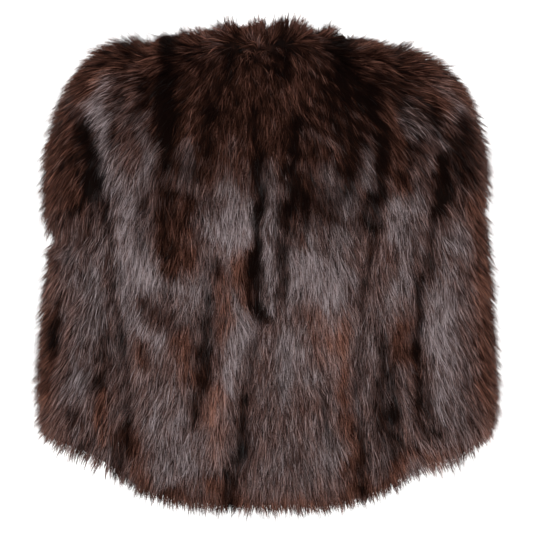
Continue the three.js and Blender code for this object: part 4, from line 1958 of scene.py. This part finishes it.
@dataclass
class Studio:
    """The plain studio, in metres: a white sweep, soft lights and the camera at the photo's angle.

    The sweep lies far off, so that the wrap can be seen from all round.
    """

    target: tuple[float, float, float] = (0.0, 0.0, -0.2184)
    distance: float = 3.0
    frame_width: float = 0.65
    sensor: float = 36.0
    lamps: tuple[Lamp, ...] = LAMPS
    world_strength: float = 0.35
    floor_z: float = -0.95
    sweep_near: float = -12.0
    sweep_behind: float = 8.0
    sweep_radius: float = 2.0
    sweep_steps: int = 12
    sweep_side: float = 14.0
    sweep_top: float = 12.0
    paper: float = 0.9
    paper_roughness: float = 0.9
    paper_glow: float = 0.75

    def build(self) -> None:
        """Builds the sweep, the lights and the camera."""
        self.sweep()
        for lamp in self.lamps:
            self.light(lamp)
        world = bpy.data.worlds.new("studio")
        world.use_nodes = True
        sky = world.node_tree.nodes["Background"]
        sky.inputs["Color"].default_value = (1, 1, 1, 1)
        sky.inputs["Strength"].default_value = self.world_strength
        bpy.context.scene.world = world
        bpy.context.scene.view_settings.view_transform = "Standard"
        self.camera()

    def sweep(self) -> None:
        """The floor and wall in one: flat, then a quarter circle, then upright, carried straight across."""
        turn = np.linspace(0, math.pi / 2, self.sweep_steps + 1)
        radius, behind = self.sweep_radius, self.sweep_behind
        y = np.concatenate([[self.sweep_near], behind + radius * np.sin(turn), [behind + radius]])
        curve = self.floor_z + radius * (1 - np.cos(turn))
        z = np.concatenate([[self.floor_z], curve, [self.sweep_top]])
        x = np.array([-self.sweep_side, self.sweep_side])
        grid = np.stack(np.broadcast_arrays(x[:, None], y, z), axis=-1)
        number = np.arange(grid.shape[0] * grid.shape[1]).reshape(grid.shape[:2])
        faces = np.stack([number[:-1, :-1], number[1:, :-1], number[1:, 1:], number[:-1, 1:]], -1)
        faces = faces.reshape(-1, 4)
        sweep = add_mesh("sweep", grid.reshape(-1, 3) / MM, faces.ravel(), np.arange(len(faces)) * 4)
        made = bpy.data.materials.new("white_paper")
        made.use_nodes = True
        shader = made.node_tree.nodes["Principled BSDF"]
        shader.inputs["Base Color"].default_value = (self.paper, self.paper, self.paper, 1)
        shader.inputs["Roughness"].default_value = self.paper_roughness
        shader.inputs["Emission Color"].default_value = (1, 1, 1, 1)
        shader.inputs["Emission Strength"].default_value = self.paper_glow
        sweep.data.materials.append(made)
        sweep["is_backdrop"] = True

    def light(self, lamp: Lamp) -> None:
        """One soft light at its place, facing the middle of the wrap.

        Args:
            lamp: the light's place, side and power.
        """
        area = bpy.data.lights.new(lamp.name, "AREA")
        area.size, area.energy = lamp.side, lamp.power
        made = bpy.data.objects.new(lamp.name, area)
        made.location = lamp.place
        made.rotation_mode = "QUATERNION"
        made.rotation_quaternion = (Vector(self.target) - Vector(lamp.place)).to_track_quat("-Z", "Y")
        bpy.context.scene.collection.objects.link(made)

    def camera(self) -> None:
        """The camera, square on to the back of the wrap."""
        lens = bpy.data.cameras.new("camera")
        lens.sensor_width = self.sensor
        lens.lens = self.sensor * self.distance / self.frame_width
        lens.clip_end = 50.0
        made = bpy.data.objects.new("camera", lens)
        x, y, z = self.target
        made.location = (x, y - self.distance, z)
        made.rotation_euler = (math.pi / 2, 0, 0)
        bpy.context.scene.collection.objects.link(made)
        bpy.context.scene.camera = made


def write_sizes() -> None:
    """Writes the box of the solids and the box of the dressed wrap, as plain lists."""
    boxes = {"cad": CAD_BOX, "visual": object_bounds()}
    rounded = {name: [[round(x, 4) for x in corner] for corner in box] for name, box in boxes.items()}
    log.info("sizes: %s", rounded)


def main() -> None:
    """Builds the wrap and its studio."""
    FurWrap().build()
    Studio().build()
    write_sizes()


if __name__ == "__main__":
    main()
